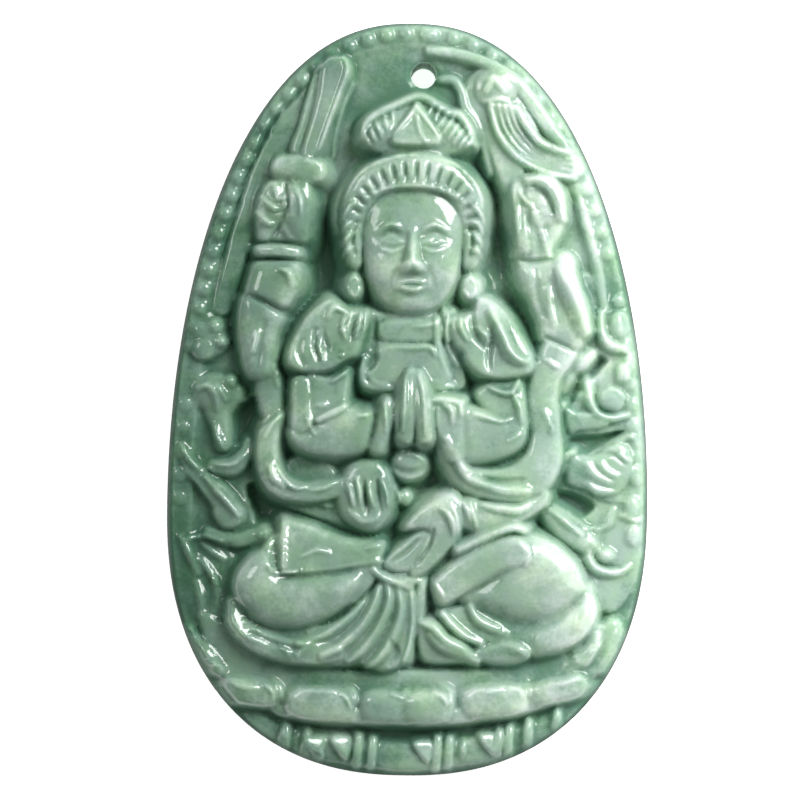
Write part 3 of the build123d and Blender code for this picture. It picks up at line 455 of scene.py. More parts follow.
def detail_right_arm(stone):
    # Shallow ground between the crown and the hooked rim of the robe, and the rim itself
    stone.ridge([(24, 306, 7, 30), (40, 300, 8, 33), (50, 286, 8, 34), (60, 262, 7, 32)], 0.3)
    stone.ridge([(24, 317, 3, 40), (40, 316, 4, 44), (48, 306, 4, 46), (52, 290, 4, 48),
        (61, 277, 4, 47), (68, 262, 3, 45), (73, 244, 3, 42), (79, 226, 3, 36)], 0.6, 2.6)
    stone.fold([(72, 305, 5, 4), (80, 316, 6, 7), (90, 306, 5, 4)])
    stone.lines(((72, 294, 4), (84, 297, 6), (97, 294, 4)))
    # Grooves between the strands of the whisk
    for strand in range(4):
        out = 7.6 * strand + 3.8
        stone.fold([(79 + 0.8 * out, 288 - 0.1 * out, 3.5, -5),
            (88 + 0.75 * out, 263 + 0.25 * out, 4, -17),
            (107 + 0.6 * out, 241 + 0.42 * out, 4, -18),
            (134 + 0.35 * out, 228 + 0.58 * out, 4, -15),
            (156 + 0.1 * out, 223 + 0.7 * out, 3.5, -5)])
    # Hand: knuckles, fingers and the edge of the palm
    stone.fold([(112, 218, 4, 4), (130, 215, 4, 8), (143, 200, 4, 9), (148, 178, 4, 6)])
    stone.lines(((120, 210, -5), (133, 202, -7), (140, 186, -6)))
    stone.fold([(122, 184, 4, 4), (130, 162, 4, 7), (137, 144, 4, 4)])
    stone.lines(((106, 206, 4), (112, 196, 6), (118, 192, 4)))
    for x in (104, 112, 119):
        stone.fold([(x, 188, 4, 3), (x + 1, 162, 5, 6), (x + 2, 138, 4, 3)])
    stone.lines(((98, 140, -4), (120, 138, -6), (140, 140, -4)))
    # Sleeve
    stone.fold([(144, 130, 6, 4), (156, 112, 8, 8), (166, 90, 7, 8), (171, 72, 5, 4)])
    stone.lines(((136, 112, 4), (138, 92, 5), (142, 74, 3)))
    stone.fold([(124, 128, 4, -3), (126, 104, 4, -4), (132, 84, 4, -3)])
    stone.lines(
        ((134, 63, -4), (147, 57, -7), (162, 50, -5)), ((134, 41, 4), (146, 33, 5)),
        ((133, -9, 4), (140, -24, 8), (146, -42, 9), (148, -60, 8), (143, -80, 4)))


def carve_left_gifts(stone):
    # Low ground with two openings beside the ribbon
    stone.panel([(-214, 70, 28), (-180, 70, 28), (-160, 10, 30), (-148, -60, 32), (-128, -110, 32),
        (-124, -150, 32), (-160, -180, 34), (-176, -215, 34), (-205, -225, 32), (-230, -170, 28),
        (-237, -100, 26), (-232, 0, 26)], 12, 0.4)
    stone.pit([(-178, -12, 5), (-163, -4, 5), (-153, 2, 5), (-149, -14, 5), (-150, -32, 5),
        (-160, -42, 5), (-172, -46, 5), (-180, -32, 5)])
    stone.pit([(-160, -88, 5), (-146, -84, 5), (-130, -94, 5), (-112, -108, 5), (-124, -118, 5),
        (-130, -130, 5), (-146, -128, 5), (-154, -110, 5)])
    # Ball, and the hand with its cord
    stone.dome(-200, 57, 21, 19, 46, 16)
    stone.panel([(-216, 8, 36), (-206, 18, 42), (-185, 22, 44), (-168, 14, 42), (-164, 2, 38),
        (-172, -10, 38), (-180, -22, 40), (-190, -18, 38), (-204, -8, 34)], 10, 0.5)
    stone.ridge([(-186, -10, 8, 40), (-184, -28, 8, 40), (-182, -46, 7, 38)], 0.5)
    # Crescent, leaf-shaped blade and short staff
    stone.ridge([(-158, -44, 3, 42), (-162, -58, 7, 48), (-174, -69, 9, 48),
        (-192, -68, 6, 42)], 0.5)
    stone.panel([(-226, -46, 38), (-217, -52, 42), (-205, -68, 44), (-188, -82, 46),
        (-172, -98, 48), (-161, -115, 50), (-168, -127, 50), (-180, -130, 48), (-190, -120, 48),
        (-194, -105, 46), (-206, -90, 42), (-218, -72, 38)], 7, 0.6)
    stone.ridge([(-196, -134, 5, 40), (-172, -142, 7, 46), (-152, -138, 8, 46),
        (-138, -136, 7, 48)], 0.6)


def detail_left_gifts(stone):
    # Lobes of the ball, and the open hand on its wrist
    stone.dome(-191, 4, 25, 21, 44, 16, -8)
    stone.ridge([(-192, -8, 12, 40), (-188, -26, 9, 41), (-183, -46, 8, 42)], 0.4)
    for x, y, half, top in ((-192, 70, 7, 50), (-186, 55, 6, 49), (-203, 47, 11, 49),
                            (-207, 66, 8, 46)):
        stone.dome(x, y, half, half, top, 7)
    stone.fold([(-208, 8, 4, 5), (-199, 12, 5, 8), (-191, 4, 5, 8), (-188, -12, 4, 4)])
    stone.lines(((-191, 14, 4), (-186, 8, 9), (-181, -2, 5)))
    stone.fold([(-191, -28, 4, 4), (-187, -42, 4, 8), (-180, -54, 3, 4)])
    stone.dome(-176, 16, 6, 6, 48, 7)
    # Edges of the leaf-shaped blade
    stone.folds(
        ((-225, -46, 3, 5), (-217, -60, 4, 8), (-208, -70, 3, 5)),
        ((-200, -78, 3, 5), (-188, -92, 4, 9), (-177, -103, 4, 10), (-166, -117, 3, 6)))
    stone.lines(
        ((-226, -54, 3), (-218, -74, 5), (-206, -88, 5), (-193, -106, 3)),
        ((-205, -65, 4), (-190, -76, 5), (-180, -88, 5), (-171, -97, 4)))
    stone.fold([(-190, -66, 4, 3), (-174, -66, 4, 5), (-162, -57, 4, 4)])
    # Knob and leaves under the staff
    stone.dome(-141, -135, 8, 7, 52, 9)
    stone.folds(
        ((-224, -138, 4, 6), (-214, -156, 6, 9), (-206, -174, 5, 5)),
        ((-204, -144, 4, 4), (-192, -153, 6, 8), (-181, -161, 4, 4)),
        ((-204, -160, 4, 5), (-195, -172, 5, 9), (-188, -184, 4, 6)),
        ((-190, -180, 5, 4), (-186, -197, 7, 6), (-190, -214, 5, 3)),
        ((-207, -184, 5, 4), (-203, -200, 6, 7), (-202, -216, 4, 4)),
        ((-216, -140, 4, 5), (-200, -138, 5, 8), (-184, -142, 4, 5)),
        ((-176, -146, 4, -4), (-168, -160, 5, -6), (-178, -176, 4, -4)))


def carve_right_gifts(stone):
    # Ground of the side forms, nearly as high as the border, with three openings beside the sleeve
    stone.panel([(168, 128, 34), (186, 122, 36), (205, 90, 38), (226, 30, 38), (234, -40, 38),
        (236, -110, 38), (230, -170, 38), (206, -208, 38), (186, -196, 36), (168, -150, 36),
        (140, -118, 36), (148, -90, 38), (154, -40, 40), (150, 10, 40), (156, 40, 36),
        (180, 60, 34), (182, 90, 34)], 9, 0.5)
    stone.pit([(152, 14, 13), (164, 36, 13), (182, 48, 13), (197, 42, 13), (188, 28, 13),
        (172, 12, 13), (160, -6, 13), (152, 0, 13)])
    stone.pit([(156, -40, 13), (166, -33, 13), (190, -31, 13), (214, -28, 13), (196, -42, 13),
        (178, -52, 13), (164, -53, 13)])
    stone.pit([(141, -90, 13), (158, -88, 13), (176, -94, 13), (186, -104, 13), (176, -114, 13),
        (158, -109, 13), (145, -100, 13)])
    # Jointed staff
    stone.ridge([(180, 47, 6, 44), (170, 38, 7, 48), (162, 30, 5, 42), (156, 22, 6, 46),
        (150, 10, 5, 42)], 0.7)
    # Two jewels, each in a loop
    stone.dome(207, 76, 10, 14, 50, 10)
    stone.dome(200, 2, 14, 12, 50, 9)
    stone.ridge([(177, 18, 4, 44), (180, 2, 4, 50), (187, -11, 4, 51), (200, -16, 4, 49),
        (216, -13, 3, 44)], 0.9)
    # Two hands with what they hold
    stone.panel([(154, -6, 46), (166, -10, 48), (182, -12, 50), (198, -20, 48), (190, -26, 46),
        (170, -28, 46), (158, -30, 46)], 6, 0.5)
    stone.panel([(156, -62, 48), (162, -52, 50), (184, -54, 52), (198, -44, 50), (214, -42, 48),
        (222, -58, 46), (220, -76, 46), (206, -90, 48), (190, -93, 50), (172, -86, 50),
        (158, -80, 48)], 10, 0.5)
    # Slanting fold, and a pearl in a bowl
    stone.ridge([(140, -108, 9, 50), (154, -121, 13, 54), (170, -134, 12, 52),
        (183, -144, 8, 46)], 0.4, 2.5)
    stone.dome(197, -152, 9, 8, 50, 12)
    stone.ridge([(177, -142, 3, 44), (181, -156, 4, 50), (191, -166, 4, 52), (208, -168, 4, 48),
        (220, -162, 3, 42)], 0.9)


def detail_right_gifts(stone):
    # Loops round the jewels
    stone.ridge([(189, 88, 3, 46), (190, 68, 4, 51), (199, 56, 4, 53), (213, 52, 4, 49)], 0.6, 2.6)
    stone.dome(212, 29, 6, 9, 50, 6, 0, 2.6, 3)
    stone.lines(
        ((198, 15, 4), (208, 11, 6), (214, 4, 4)),
        ((186, 16, -5), (185, 2, -7), (190, -8, -6), (202, -11, -4)))
    # Bright wrists beside the sleeve
    stone.ridge([(152, -4, 4, 50), (146, -14, 3, 52), (149, -28, 3, 50), (153, -38, 3, 46)], 0.8)
    stone.ridge([(163, -50, 3, 52), (156, -54, 3, 54), (152, -68, 3, 50)], 0.8)
    # Fingers, and what they hold
    for strand in range(3):
        stone.lines(((176 + 3 * strand, -80 - 4 * strand, 2), (190, -87 - 4 * strand, 5),
            (209 + strand, -90 - 4 * strand, 3)))
    stone.fold([(190, -60, 4, 4), (196, -68, 4, 6), (206, -73, 4, 4)])
    stone.lines(((208, -52, 4), (219, -58, 6)))
    stone.folds(
        ((212, -112, 4, 5), (224, -117, 4, 7), (233, -116, 4, 4)),
        ((204, -106, 4, 4), (200, -120, 5, 6), (190, -126, 4, 4)),
        ((206, -40, 4, 4), (220, -34, 4, 6), (228, -44, 4, 4)))
    for x, y, half_x, half_y in ((222, -104, 7, 11), (224, -132, 7, 11), (218, 40, 5, 9),
                                 (226, -72, 6, 10)):
        stone.dome(x, y, half_x, half_y, 45, 5, power=2.6)
    stone.fold([(176, -60, 4, 3), (184, -72, 6, 5), (200, -80, 4, 3)])
    stone.lines(((186, -50, -3), (204, -52, -5), (214, -60, -3)))
    stone.folds(
        ((160, 4, 5, 3), (170, 6, 6, 6), (176, -4, 4, 3)),
        ((162, -118, 4, -3), (174, -126, 4, -5), (180, -134, 4, -3)))
    # Slanting fold with a sharp upper edge, and a double lip to the bowl
    stone.fold([(141, -107, 3, 5), (156, -118, 4, 9), (172, -130, 4, 6)])
    stone.lines(
        ((178, -124, 4), (187, -126, 6), (189, -134, 3)),
        ((184, -146, -5), (188, -158, -7), (198, -163, -7), (212, -163, -4)))


def carve_lotus(stone):
    # Sloping top of the seat and the curled leaves at its ends
    stone.panel([(-205, -215, 34), (-178, -225, 40), (-150, -250, 46), (-90, -266, 46),
        (0, -268, 47), (90, -264, 48), (150, -250, 48), (182, -226, 44), (206, -216, 40),
        (205, -245, 38), (182, -275, 42), (120, -298, 46), (0, -310, 46), (-120, -298, 44),
        (-182, -278, 36)], 8, 0.4)
    stone.ridge([(-216, -230, 4, 42), (-206, -249, 7, 48), (-190, -265, 7, 50),
        (-180, -272, 5, 48)], 0.8)
    stone.ridge([(205, -222, 9, 44), (206, -244, 9, 46), (196, -264, 7, 42)], 0.6)
    stone.ridge([(190, -224, 4, 50), (184, -242, 7, 56), (172, -256, 7, 54),
        (160, -262, 5, 48)], 0.7)
    # Petals
    for x, y, half_x, half_y, top, lean in (
            (-151, -290, 28, 14, 62, -10), (-83, -301, 34, 17, 68, -3), (-21, -303, 23, 17, 70, 2),
            (23, -303, 25, 17, 72, 2), (88, -296, 33, 17, 70, 5), (150, -284, 28, 13, 64, 14)):
        stone.dome(x, y, half_x, half_y, top, 14, lean, 2.3, 2.8)
    # Lower row of petals on a low step
    stone.panel([(-156, -312, 28), (-80, -334, 30), (0, -339, 31), (80, -334, 30), (152, -308, 28),
        (136, -336, 28), (80, -360, 28), (0, -369, 28), (-80, -360, 28), (-138, -338, 28)], 6, 0.4)
    for x, y, half_x, half_y, top, lean in (
            (-140, -325, 22, 9, 32, -28), (-84, -345, 27, 14, 38, -10), (0, -354, 29, 15, 41, 0),
            (76, -346, 27, 14, 40, 9), (134, -325, 24, 10, 36, 24)):
        stone.dome(x, y, half_x, half_y, top, 10, lean, 2.4, 3)


def detail_lotus(stone):
    # One lip joins the petals at the foot, and the middle two are one
    stone.ridge([(-130, -305, 5, 44), (-112, -310, 6, 52), (-52, -312, 8, 58), (-4, -313, 8, 62),
        (41, -312, 8, 60), (88, -306, 8, 57), (121, -300, 7, 54), (150, -291, 7, 50),
        (168, -279, 5, 46)], 0.6, 2.6)
    stone.ridge([(1, -294, 8, 63), (1, -308, 8, 65)], 0.6)
    # Fill between the petals of the lower row
    stone.ridge([(-146, -320, 7, 29), (-118, -333, 10, 33), (-60, -348, 14, 37), (0, -353, 15, 39),
        (60, -348, 14, 38), (118, -331, 10, 36), (150, -312, 7, 32)], 0.5, 2.6)
    # Curled lips at the right-hand end of each petal
    stone.lines(
        ((-139, -282, 4), (-131, -287, 8), (-129, -296, 4)),
        ((-130, -278, 4), (-122, -286, 9), (-122, -297, 4)),
        ((-63, -289, 4), (-56, -295, 8), (-53, -303, 4)))
    stone.fold([(-60, -283, 3, 4), (-49, -289, 4, 9), (-47, -300, 3, 4)])
    stone.lines(((-14, -288, 4), (-2, -293, 7)), ((28, -285, 4), (37, -291, 8), (42, -298, 4)))
    stone.fold([(34, -280, 3, 4), (45, -286, 4, 10), (47, -299, 3, 5)])
    stone.lines(((103, -281, 4), (112, -284, 8), (117, -291, 4)))
    stone.folds(
        ((113, -277, 3, 4), (121, -281, 4, 9), (123, -291, 3, 4)),
        ((143, -278, 3, 4), (158, -276, 4, 9), (172, -271, 4, 8), (178, -280, 3, 4)),
        ((-177, -277, 3, 4), (-160, -284, 4, 6), (-146, -285, 3, 3)),
        ((-104, -286, 3, 3), (-84, -287, 4, 5), (-68, -287, 3, 3)),
        ((68, -283, 3, 3), (82, -285, 4, 5), (95, -282, 3, 3)))
    # Double curl at the left end, and broad leaves at the right
    stone.lines(
        ((-210, -238, 5), (-202, -251, 9), (-192, -261, 9), (-180, -267, 5)),
        ((-203, -236, 3), (-194, -250, 7), (-184, -261, 5)),
        ((176, -232, 5), (167, -246, 8), (170, -257, 5)),
        ((190, -230, 5), (187, -246, 9), (176, -260, 5)))
    stone.fold([(209, -230, 5, 4), (206, -246, 5, 7), (197, -260, 4, 4)])
    # Posts and tips of the lower row
    for x, y, tall, half in ((-118, -334, 8, 5), (-97, -341, 10, 4), (-46, -347, 13, 4),
                             (-32, -349, 12, 4), (32, -349, 14, 4), (44, -348, 12, 4),
                             (58, -345, 6, 3), (93, -338, 10, 4), (103, -336, 12, 4),
                             (122, -328, 10, 4), (150, -314, 7, 4)):
        stone.ridge([(x + 1, y + tall, half, 43), (x, y, half, 47),
            (x - 1, y - tall, half, 43)], 0.5, 2.6)
    for x, y in ((-62, -344), (19, -347), (84, -339), (-88, -345)):
        stone.panel([(x - 10, y + 8, 50), (x + 8, y + 9, 42), (x + 7, y - 9, 47),
            (x + 1, y - 8, 51)], 3)


def carve_robe(stone):
    # Robe under the left knee, with its rolled edge
    stone.panel([(-172, -195, 52), (-150, -205, 56), (-100, -225, 62), (-60, -215, 66),
        (-20, -176, 66), (6, -180, 62), (6, -250, 62), (-6, -262, 60), (-24, -268, 60),
        (-44, -262, 60), (-58, -263, 60), (-90, -264, 60), (-120, -258, 58), (-150, -245, 56),
        (-170, -230, 54), (-178, -212, 50)], 7, 0.7)
    stone.ridge([(-170, -204, 6, 58), (-166, -222, 9, 65), (-148, -237, 11, 69),
        (-122, -247, 12, 70), (-92, -251, 11, 69), (-68, -250, 8, 66)], 0.4, 2.6)
    # Folds that sweep round from the top of the middle fall
    for sweep in (((-40, -172, 4), (-42, -190, 6), (-56, -213, 7), (-80, -232, 7), (-106, -240, 5)),
                  ((-30, -174, 4), (-29, -195, 6), (-42, -221, 8), (-62, -241, 8), (-82, -252, 5)),
                  ((-20, -178, 4), (-17, -199, 6), (-27, -225, 8), (-42, -246, 8), (-56, -258, 5)),
                  ((-8, -184, 4), (-5, -208, 6), (-13, -234, 8), (-27, -255, 7), (-38, -264, 4))):
        stone.fold([(x, y, half, lift) for (x, y, half), lift in zip(sweep, (3, 9, 12, 12, 8))])
    # Left knee and the cloth over the thigh, on one body of stone
    stone.panel([(-150, -160, 66), (-120, -130, 66), (-60, -142, 68), (-26, -148, 66),
        (-30, -176, 66), (-60, -204, 68), (-120, -216, 68), (-156, -196, 66)], 10, 0.5)
    stone.panel([(-121, -170, 84), (-90, -168, 84), (-60, -167, 82), (-43, -169, 78),
        (-41, -182, 78), (-50, -196, 80), (-66, -211, 82), (-84, -221, 82), (-108, -228, 82),
        (-134, -226, 82), (-155, -215, 80), (-168, -198, 78), (-171, -183, 78), (-166, -168, 80),
        (-155, -155, 80), (-142, -149, 80), (-130, -154, 82), (-124, -164, 84)], 26, 0.7, 2)
    stone.panel([(-124, -121, 60), (-112, -121, 62), (-92, -126, 66), (-72, -134, 68),
        (-50, -139, 68), (-26, -140, 64), (-22, -148, 62), (-30, -158, 66), (-55, -162, 74),
        (-90, -167, 78), (-121, -171, 78), (-124, -148, 70)], 7, 0.5)
    # Robe under the right knee
    stone.panel([(180, -178, 58), (184, -195, 60), (183, -211, 64), (174, -229, 68),
        (158, -244, 70), (140, -250, 70), (124, -251, 68), (100, -244, 62), (75, -238, 60),
        (44, -228, 58), (34, -212, 56), (60, -200, 58), (110, -200, 60), (150, -180, 60)], 7, 0.7)
    stone.ridge([(178, -188, 6, 62), (175, -208, 11, 73), (160, -226, 13, 76),
        (136, -236, 11, 72)], 0.4, 2.5)
    # Right knee and calf, on one body of stone
    stone.panel([(34, -186, 66), (60, -156, 70), (108, -140, 72), (160, -170, 72), (150, -204, 70),
        (100, -212, 66), (60, -200, 64)], 10, 0.5)
    stone.panel([(110, -129, 84), (128, -131, 86), (146, -139, 88), (162, -153, 88),
        (173, -170, 86), (178, -186, 82), (170, -196, 80), (156, -207, 80), (138, -218, 80),
        (112, -222, 78), (90, -216, 76), (70, -206, 74), (60, -190, 74), (78, -168, 80),
        (96, -144, 84)], 28, 0.75, 2)
    stone.panel([(27, -178, 76), (40, -164, 80), (60, -150, 84), (82, -140, 86), (100, -133, 88),
        (112, -134, 88), (119, -142, 88), (120, -154, 88), (112, -161, 88), (92, -169, 86),
        (70, -182, 84), (50, -194, 80), (36, -201, 76), (29, -193, 74)], 10, 0.6, 2.2)
    # Foot, and the flap beside the middle fall
    stone.panel([(68, -246, 64), (84, -240, 68), (104, -239, 70), (120, -243, 70), (122, -252, 68),
        (108, -259, 66), (85, -259, 64), (70, -254, 62)], 7, 0.6)
    stone.panel([(14, -219, 60), (26, -222, 64), (36, -234, 66), (52, -243, 66), (66, -251, 64),
        (70, -257, 60), (52, -258, 58), (28, -259, 56), (17, -254, 56), (12, -235, 56)], 4, 0.6)


def detail_robe(stone):
    # Hem at the top of the middle fall, and its right edge
    stone.ridge([(-33, -168, 3, 70), (-22, -175, 3, 72), (-6, -181, 3, 71), (4, -184, 3, 68)], 0.7)
    stone.ridge([(-6, -178, 3, 68), (6, -178, 3, 70), (14, -178, 3, 66)], 0.7)
    stone.ridge([(15, -179, 4, 65), (14, -198, 5, 64), (11, -216, 5, 62), (6, -232, 4, 60)], 0.7)
    stone.folds(
        ((6, -190, 4, 5), (7, -215, 4, 7), (4, -240, 4, 7), (-2, -258, 4, 5)),
        ((-14, -238, 4, -4), (-9, -248, 5, -7), (-14, -260, 4, -4)))
    # Rim of the cloth over the left thigh, and the dents in it
    stone.lines(
        ((-122, -171, 6), (-100, -170, 9), (-76, -167, 8), (-52, -163, 6), (-38, -161, 4)),
        ((-118, -177, -3), (-98, -176, -6), (-74, -173, -5), (-50, -169, -3)))
    stone.fold([(-129, -128, 4, -4), (-130, -146, 4, -9), (-128, -164, 3, -6)])
    stone.lines(
        ((-121, -126, 3), (-121, -146, 5), (-121, -166, 4)),
        ((-138, -160, 4), (-132, -168, 7), (-125, -173, 4)))
    stone.folds(
        ((-103, -155, 3, 3), (-90, -149, 4, 6), (-76, -151, 3, 3)),
        ((-34, -160, 4, 4), (-26, -159, 4, 6)),
        ((-38, -145, 4, 3), (-30, -144, 4, 5), (-22, -140, 3, 4)))
    # Creases of the hem under the left knee
    stone.fold([(-172, -206, 3, 3), (-168, -222, 4, 6), (-156, -234, 4, 6), (-140, -240, 3, 3)])
    stone.lines(
        ((-152, -231, -4), (-130, -240, -6), (-106, -246, -4)), ((-122, -243, 3), (-115, -250, 5)),
        ((-97, -244, 3), (-106, -252, 5)))
    stone.fold([(-50, -200, 4, 4), (-66, -218, 5, 5), (-96, -229, 4, 4)])
    # Thin rims round the right knee and the calf
    stone.ridge([(50, -147, 3, 84), (68, -138, 3, 88), (88, -129, 3, 89), (104, -124, 3, 89),
        (114, -127, 3, 86)], 0.8)
    stone.lines(
        ((112, -140, 4), (119, -149, 9), (117, -161, 5)),
        ((26, -176, 4), (30, -184, 6), (36, -192, 4)))
    stone.fold([(178, -190, 4, 4), (175, -206, 4, 8), (169, -222, 4, 5)])
    stone.ridge([(36, -210, 3, 66), (46, -221, 3, 68), (58, -230, 3, 66)], 0.8)
    stone.ridge([(42, -218, 3, 66), (55, -230, 3, 69), (74, -239, 3, 66)], 0.8)
    stone.ridge([(63, -203, 3, 66), (70, -215, 3, 69), (82, -223, 3, 69), (100, -229, 3, 65)], 0.8)
    stone.lines(((72, -210, 4), (80, -216, 5), (92, -223, 4)))
    # Flap with a double edge, and the toes
    stone.ridge([(15, -219, 3, 66), (27, -224, 4, 73), (39, -236, 4, 74), (55, -244, 4, 73),
        (70, -256, 3, 66)], 0.7)
    stone.ridge([(24, -231, 3, 68), (35, -242, 3, 71), (52, -249, 3, 71), (66, -255, 3, 66)], 0.7)
    stone.fold([(94, -238, 3, 3), (110, -241, 4, 7), (121, -247, 3, 4)])
    stone.lines(((103, -244, 3), (112, -246, 6), (120, -252, 4)))


def carve_ribbons(stone):
    # Cloth under the left ribbon, then the ribbon, which turns under the elbow
    stone.panel([(-118, -60, 40), (-100, -57, 42), (-80, -62, 44), (-70, -74, 46), (-80, -86, 46),
        (-105, -88, 44), (-120, -76, 42)], 8, 0.4)
    stone.panel([(-130, -98, 36), (-100, -96, 44), (-70, -96, 48), (-58, -106, 50), (-46, -128, 48),
        (-60, -128, 46), (-80, -121, 42), (-108, -112, 38), (-120, -107, 36)], 6, 0.5)
    stone.ridge([(-128, -18, 5, 60), (-137, -34, 10, 64), (-138, -62, 11, 66), (-128, -84, 11, 67),
        (-102, -93, 9, 66), (-76, -90, 9, 64), (-62, -84, 7, 62)], 0.4, 2.6)
    # Right sleeve, its inner ribbon and the lower forearm
    stone.ridge([(133, -8, 15, 66), (135, -35, 15, 69), (131, -62, 19, 72), (112, -82, 21, 73),
        (84, -86, 18, 72), (62, -78, 12, 68)], 0.4, 2.5)
    stone.ridge([(34, -40, 8, 66), (42, -62, 8, 67), (56, -80, 8, 70), (80, -90, 7, 76),
        (108, -90, 6, 74)], 0.6)
    stone.ridge([(128, -94, 12, 70), (102, -107, 15, 75), (76, -114, 16, 77),
        (62, -112, 16, 77)], 0.4, 2.5)


def detail_ribbons(stone):
    # Inner edge of the left ribbon, its crease and the lining under it
    stone.fold([(-135, -66, 4, 4), (-131, -78, 5, 9), (-122, -86, 4, 5)])
    stone.lines(
        ((-128, -68, 5), (-120, -80, 9), (-110, -88, 9), (-100, -87, 4)),
        ((-141, -38, 4), (-134, -26, 7), (-126, -17, 5)),
        ((-148, -30, -4), (-138, -22, -7), (-128, -14, -4)))
    stone.fold([(-96, -90, 3, 3), (-82, -88, 4, 6), (-72, -82, 3, 4)])
    stone.dome(-80, -104, 6, 4, 52, 5, -20)
    # Edges of the right sleeve and its lining
    stone.ridge([(37, -37, 3, 82), (46, -52, 3, 80), (56, -68, 3, 79), (70, -78, 3, 80)], 0.8)
    stone.ridge([(47, -44, 3, 80), (49, -60, 4, 79), (60, -76, 4, 80), (78, -84, 4, 82),
        (98, -90, 3, 82), (118, -88, 3, 80)], 0.8)
    stone.lines(((80, -80, 3), (98, -85, 6), (116, -83, 3)))
    stone.ridge([(76, -103, 3, 80), (92, -106, 4, 83), (108, -107, 4, 83), (119, -101, 3, 78)], 0.7)
    stone.lines(((72, -97, -5), (90, -100, -8), (112, -100, -6), (128, -92, -4)))
    stone.fold([(60, -72, 4, -4), (84, -78, 4, -6), (112, -78, 4, -4)])


def carve_torso(stone):
    # Robe front, neck band and chest
    stone.panel([(-46, 88, 54), (-20, 84, 56), (26, 84, 56), (44, 88, 56), (46, 60, 54),
        (55, 24, 52), (47, 9, 52), (0, 4, 54), (-40, 7, 52), (-48, 24, 50), (-48, 60, 52)], 4, 0.5)
    stone.panel([(-26, 76, 60), (27, 77, 62), (29, 59, 64), (-26, 59, 61)], 4, 0.5)
    stone.panel([(-27, 53, 63), (18, 54, 66), (26, 49, 67), (30, 36, 67), (36, 21, 65),
        (10, 16, 63), (-14, 14, 61), (-37, 23, 60), (-31, 38, 62)], 5, 0.5)
    # Capes over the shoulders
    stone.panel([(-41, 86, 64), (-60, 89, 67), (-77, 98, 68), (-92, 90, 68), (-106, 74, 71),
        (-116, 54, 75), (-120, 38, 77), (-114, 29, 78), (-97, 26, 79), (-78, 29, 79), (-64, 37, 78),
        (-51, 44, 76), (-46, 58, 73), (-41, 72, 68)], 7, 0.6)
    stone.panel([(68, 100, 66), (80, 98, 68), (98, 82, 72), (111, 62, 75), (121, 42, 77),
        (118, 28, 79), (96, 22, 79), (73, 25, 79), (58, 36, 77), (53, 47, 75), (45, 55, 72),
        (40, 70, 69), (41, 81, 66), (53, 83, 66), (62, 88, 66)], 7, 0.6)
    stone.fold([(80, 92, 5, 4), (91, 70, 8, 7), (100, 52, 8, 7), (112, 38, 6, 4)])
    # Left upper arm and forearm
    stone.panel([(-100, 22, 68), (-80, 20, 68), (-60, 28, 66), (-60, 8, 66), (-64, -10, 70),
        (-88, -22, 73), (-100, -24, 74)], 5, 0.5)
    stone.panel([(-114, 18, 70), (-100, 20, 72), (-97, -6, 74), (-95, -24, 76), (-101, -33, 76),
        (-114, -30, 74), (-115, -6, 72)], 6, 0.5)
    stone.panel([(-116, -30, 74), (-102, -33, 78), (-92, -26, 80), (-76, -15, 80), (-60, -8, 80),
        (-46, -11, 80), (-36, -14, 80), (-34, -30, 80), (-40, -50, 78), (-60, -57, 78),
        (-88, -57, 77), (-106, -51, 75), (-116, -40, 73)], 14, 0.6)
    # Right upper arm and forearm
    stone.panel([(66, 8, 58), (80, 18, 64), (96, 18, 70), (109, 20, 70), (114, 2, 74),
        (116, -28, 76), (108, -38, 76), (96, -24, 76), (84, -16, 72), (70, -4, 64)], 6, 0.6)
    stone.panel([(50, -5, 74), (66, -8, 78), (84, -14, 80), (100, -20, 80), (115, -26, 78),
        (114, -40, 77), (104, -51, 77), (84, -59, 77), (56, -60, 76), (50, -34, 78)], 13, 0.6)


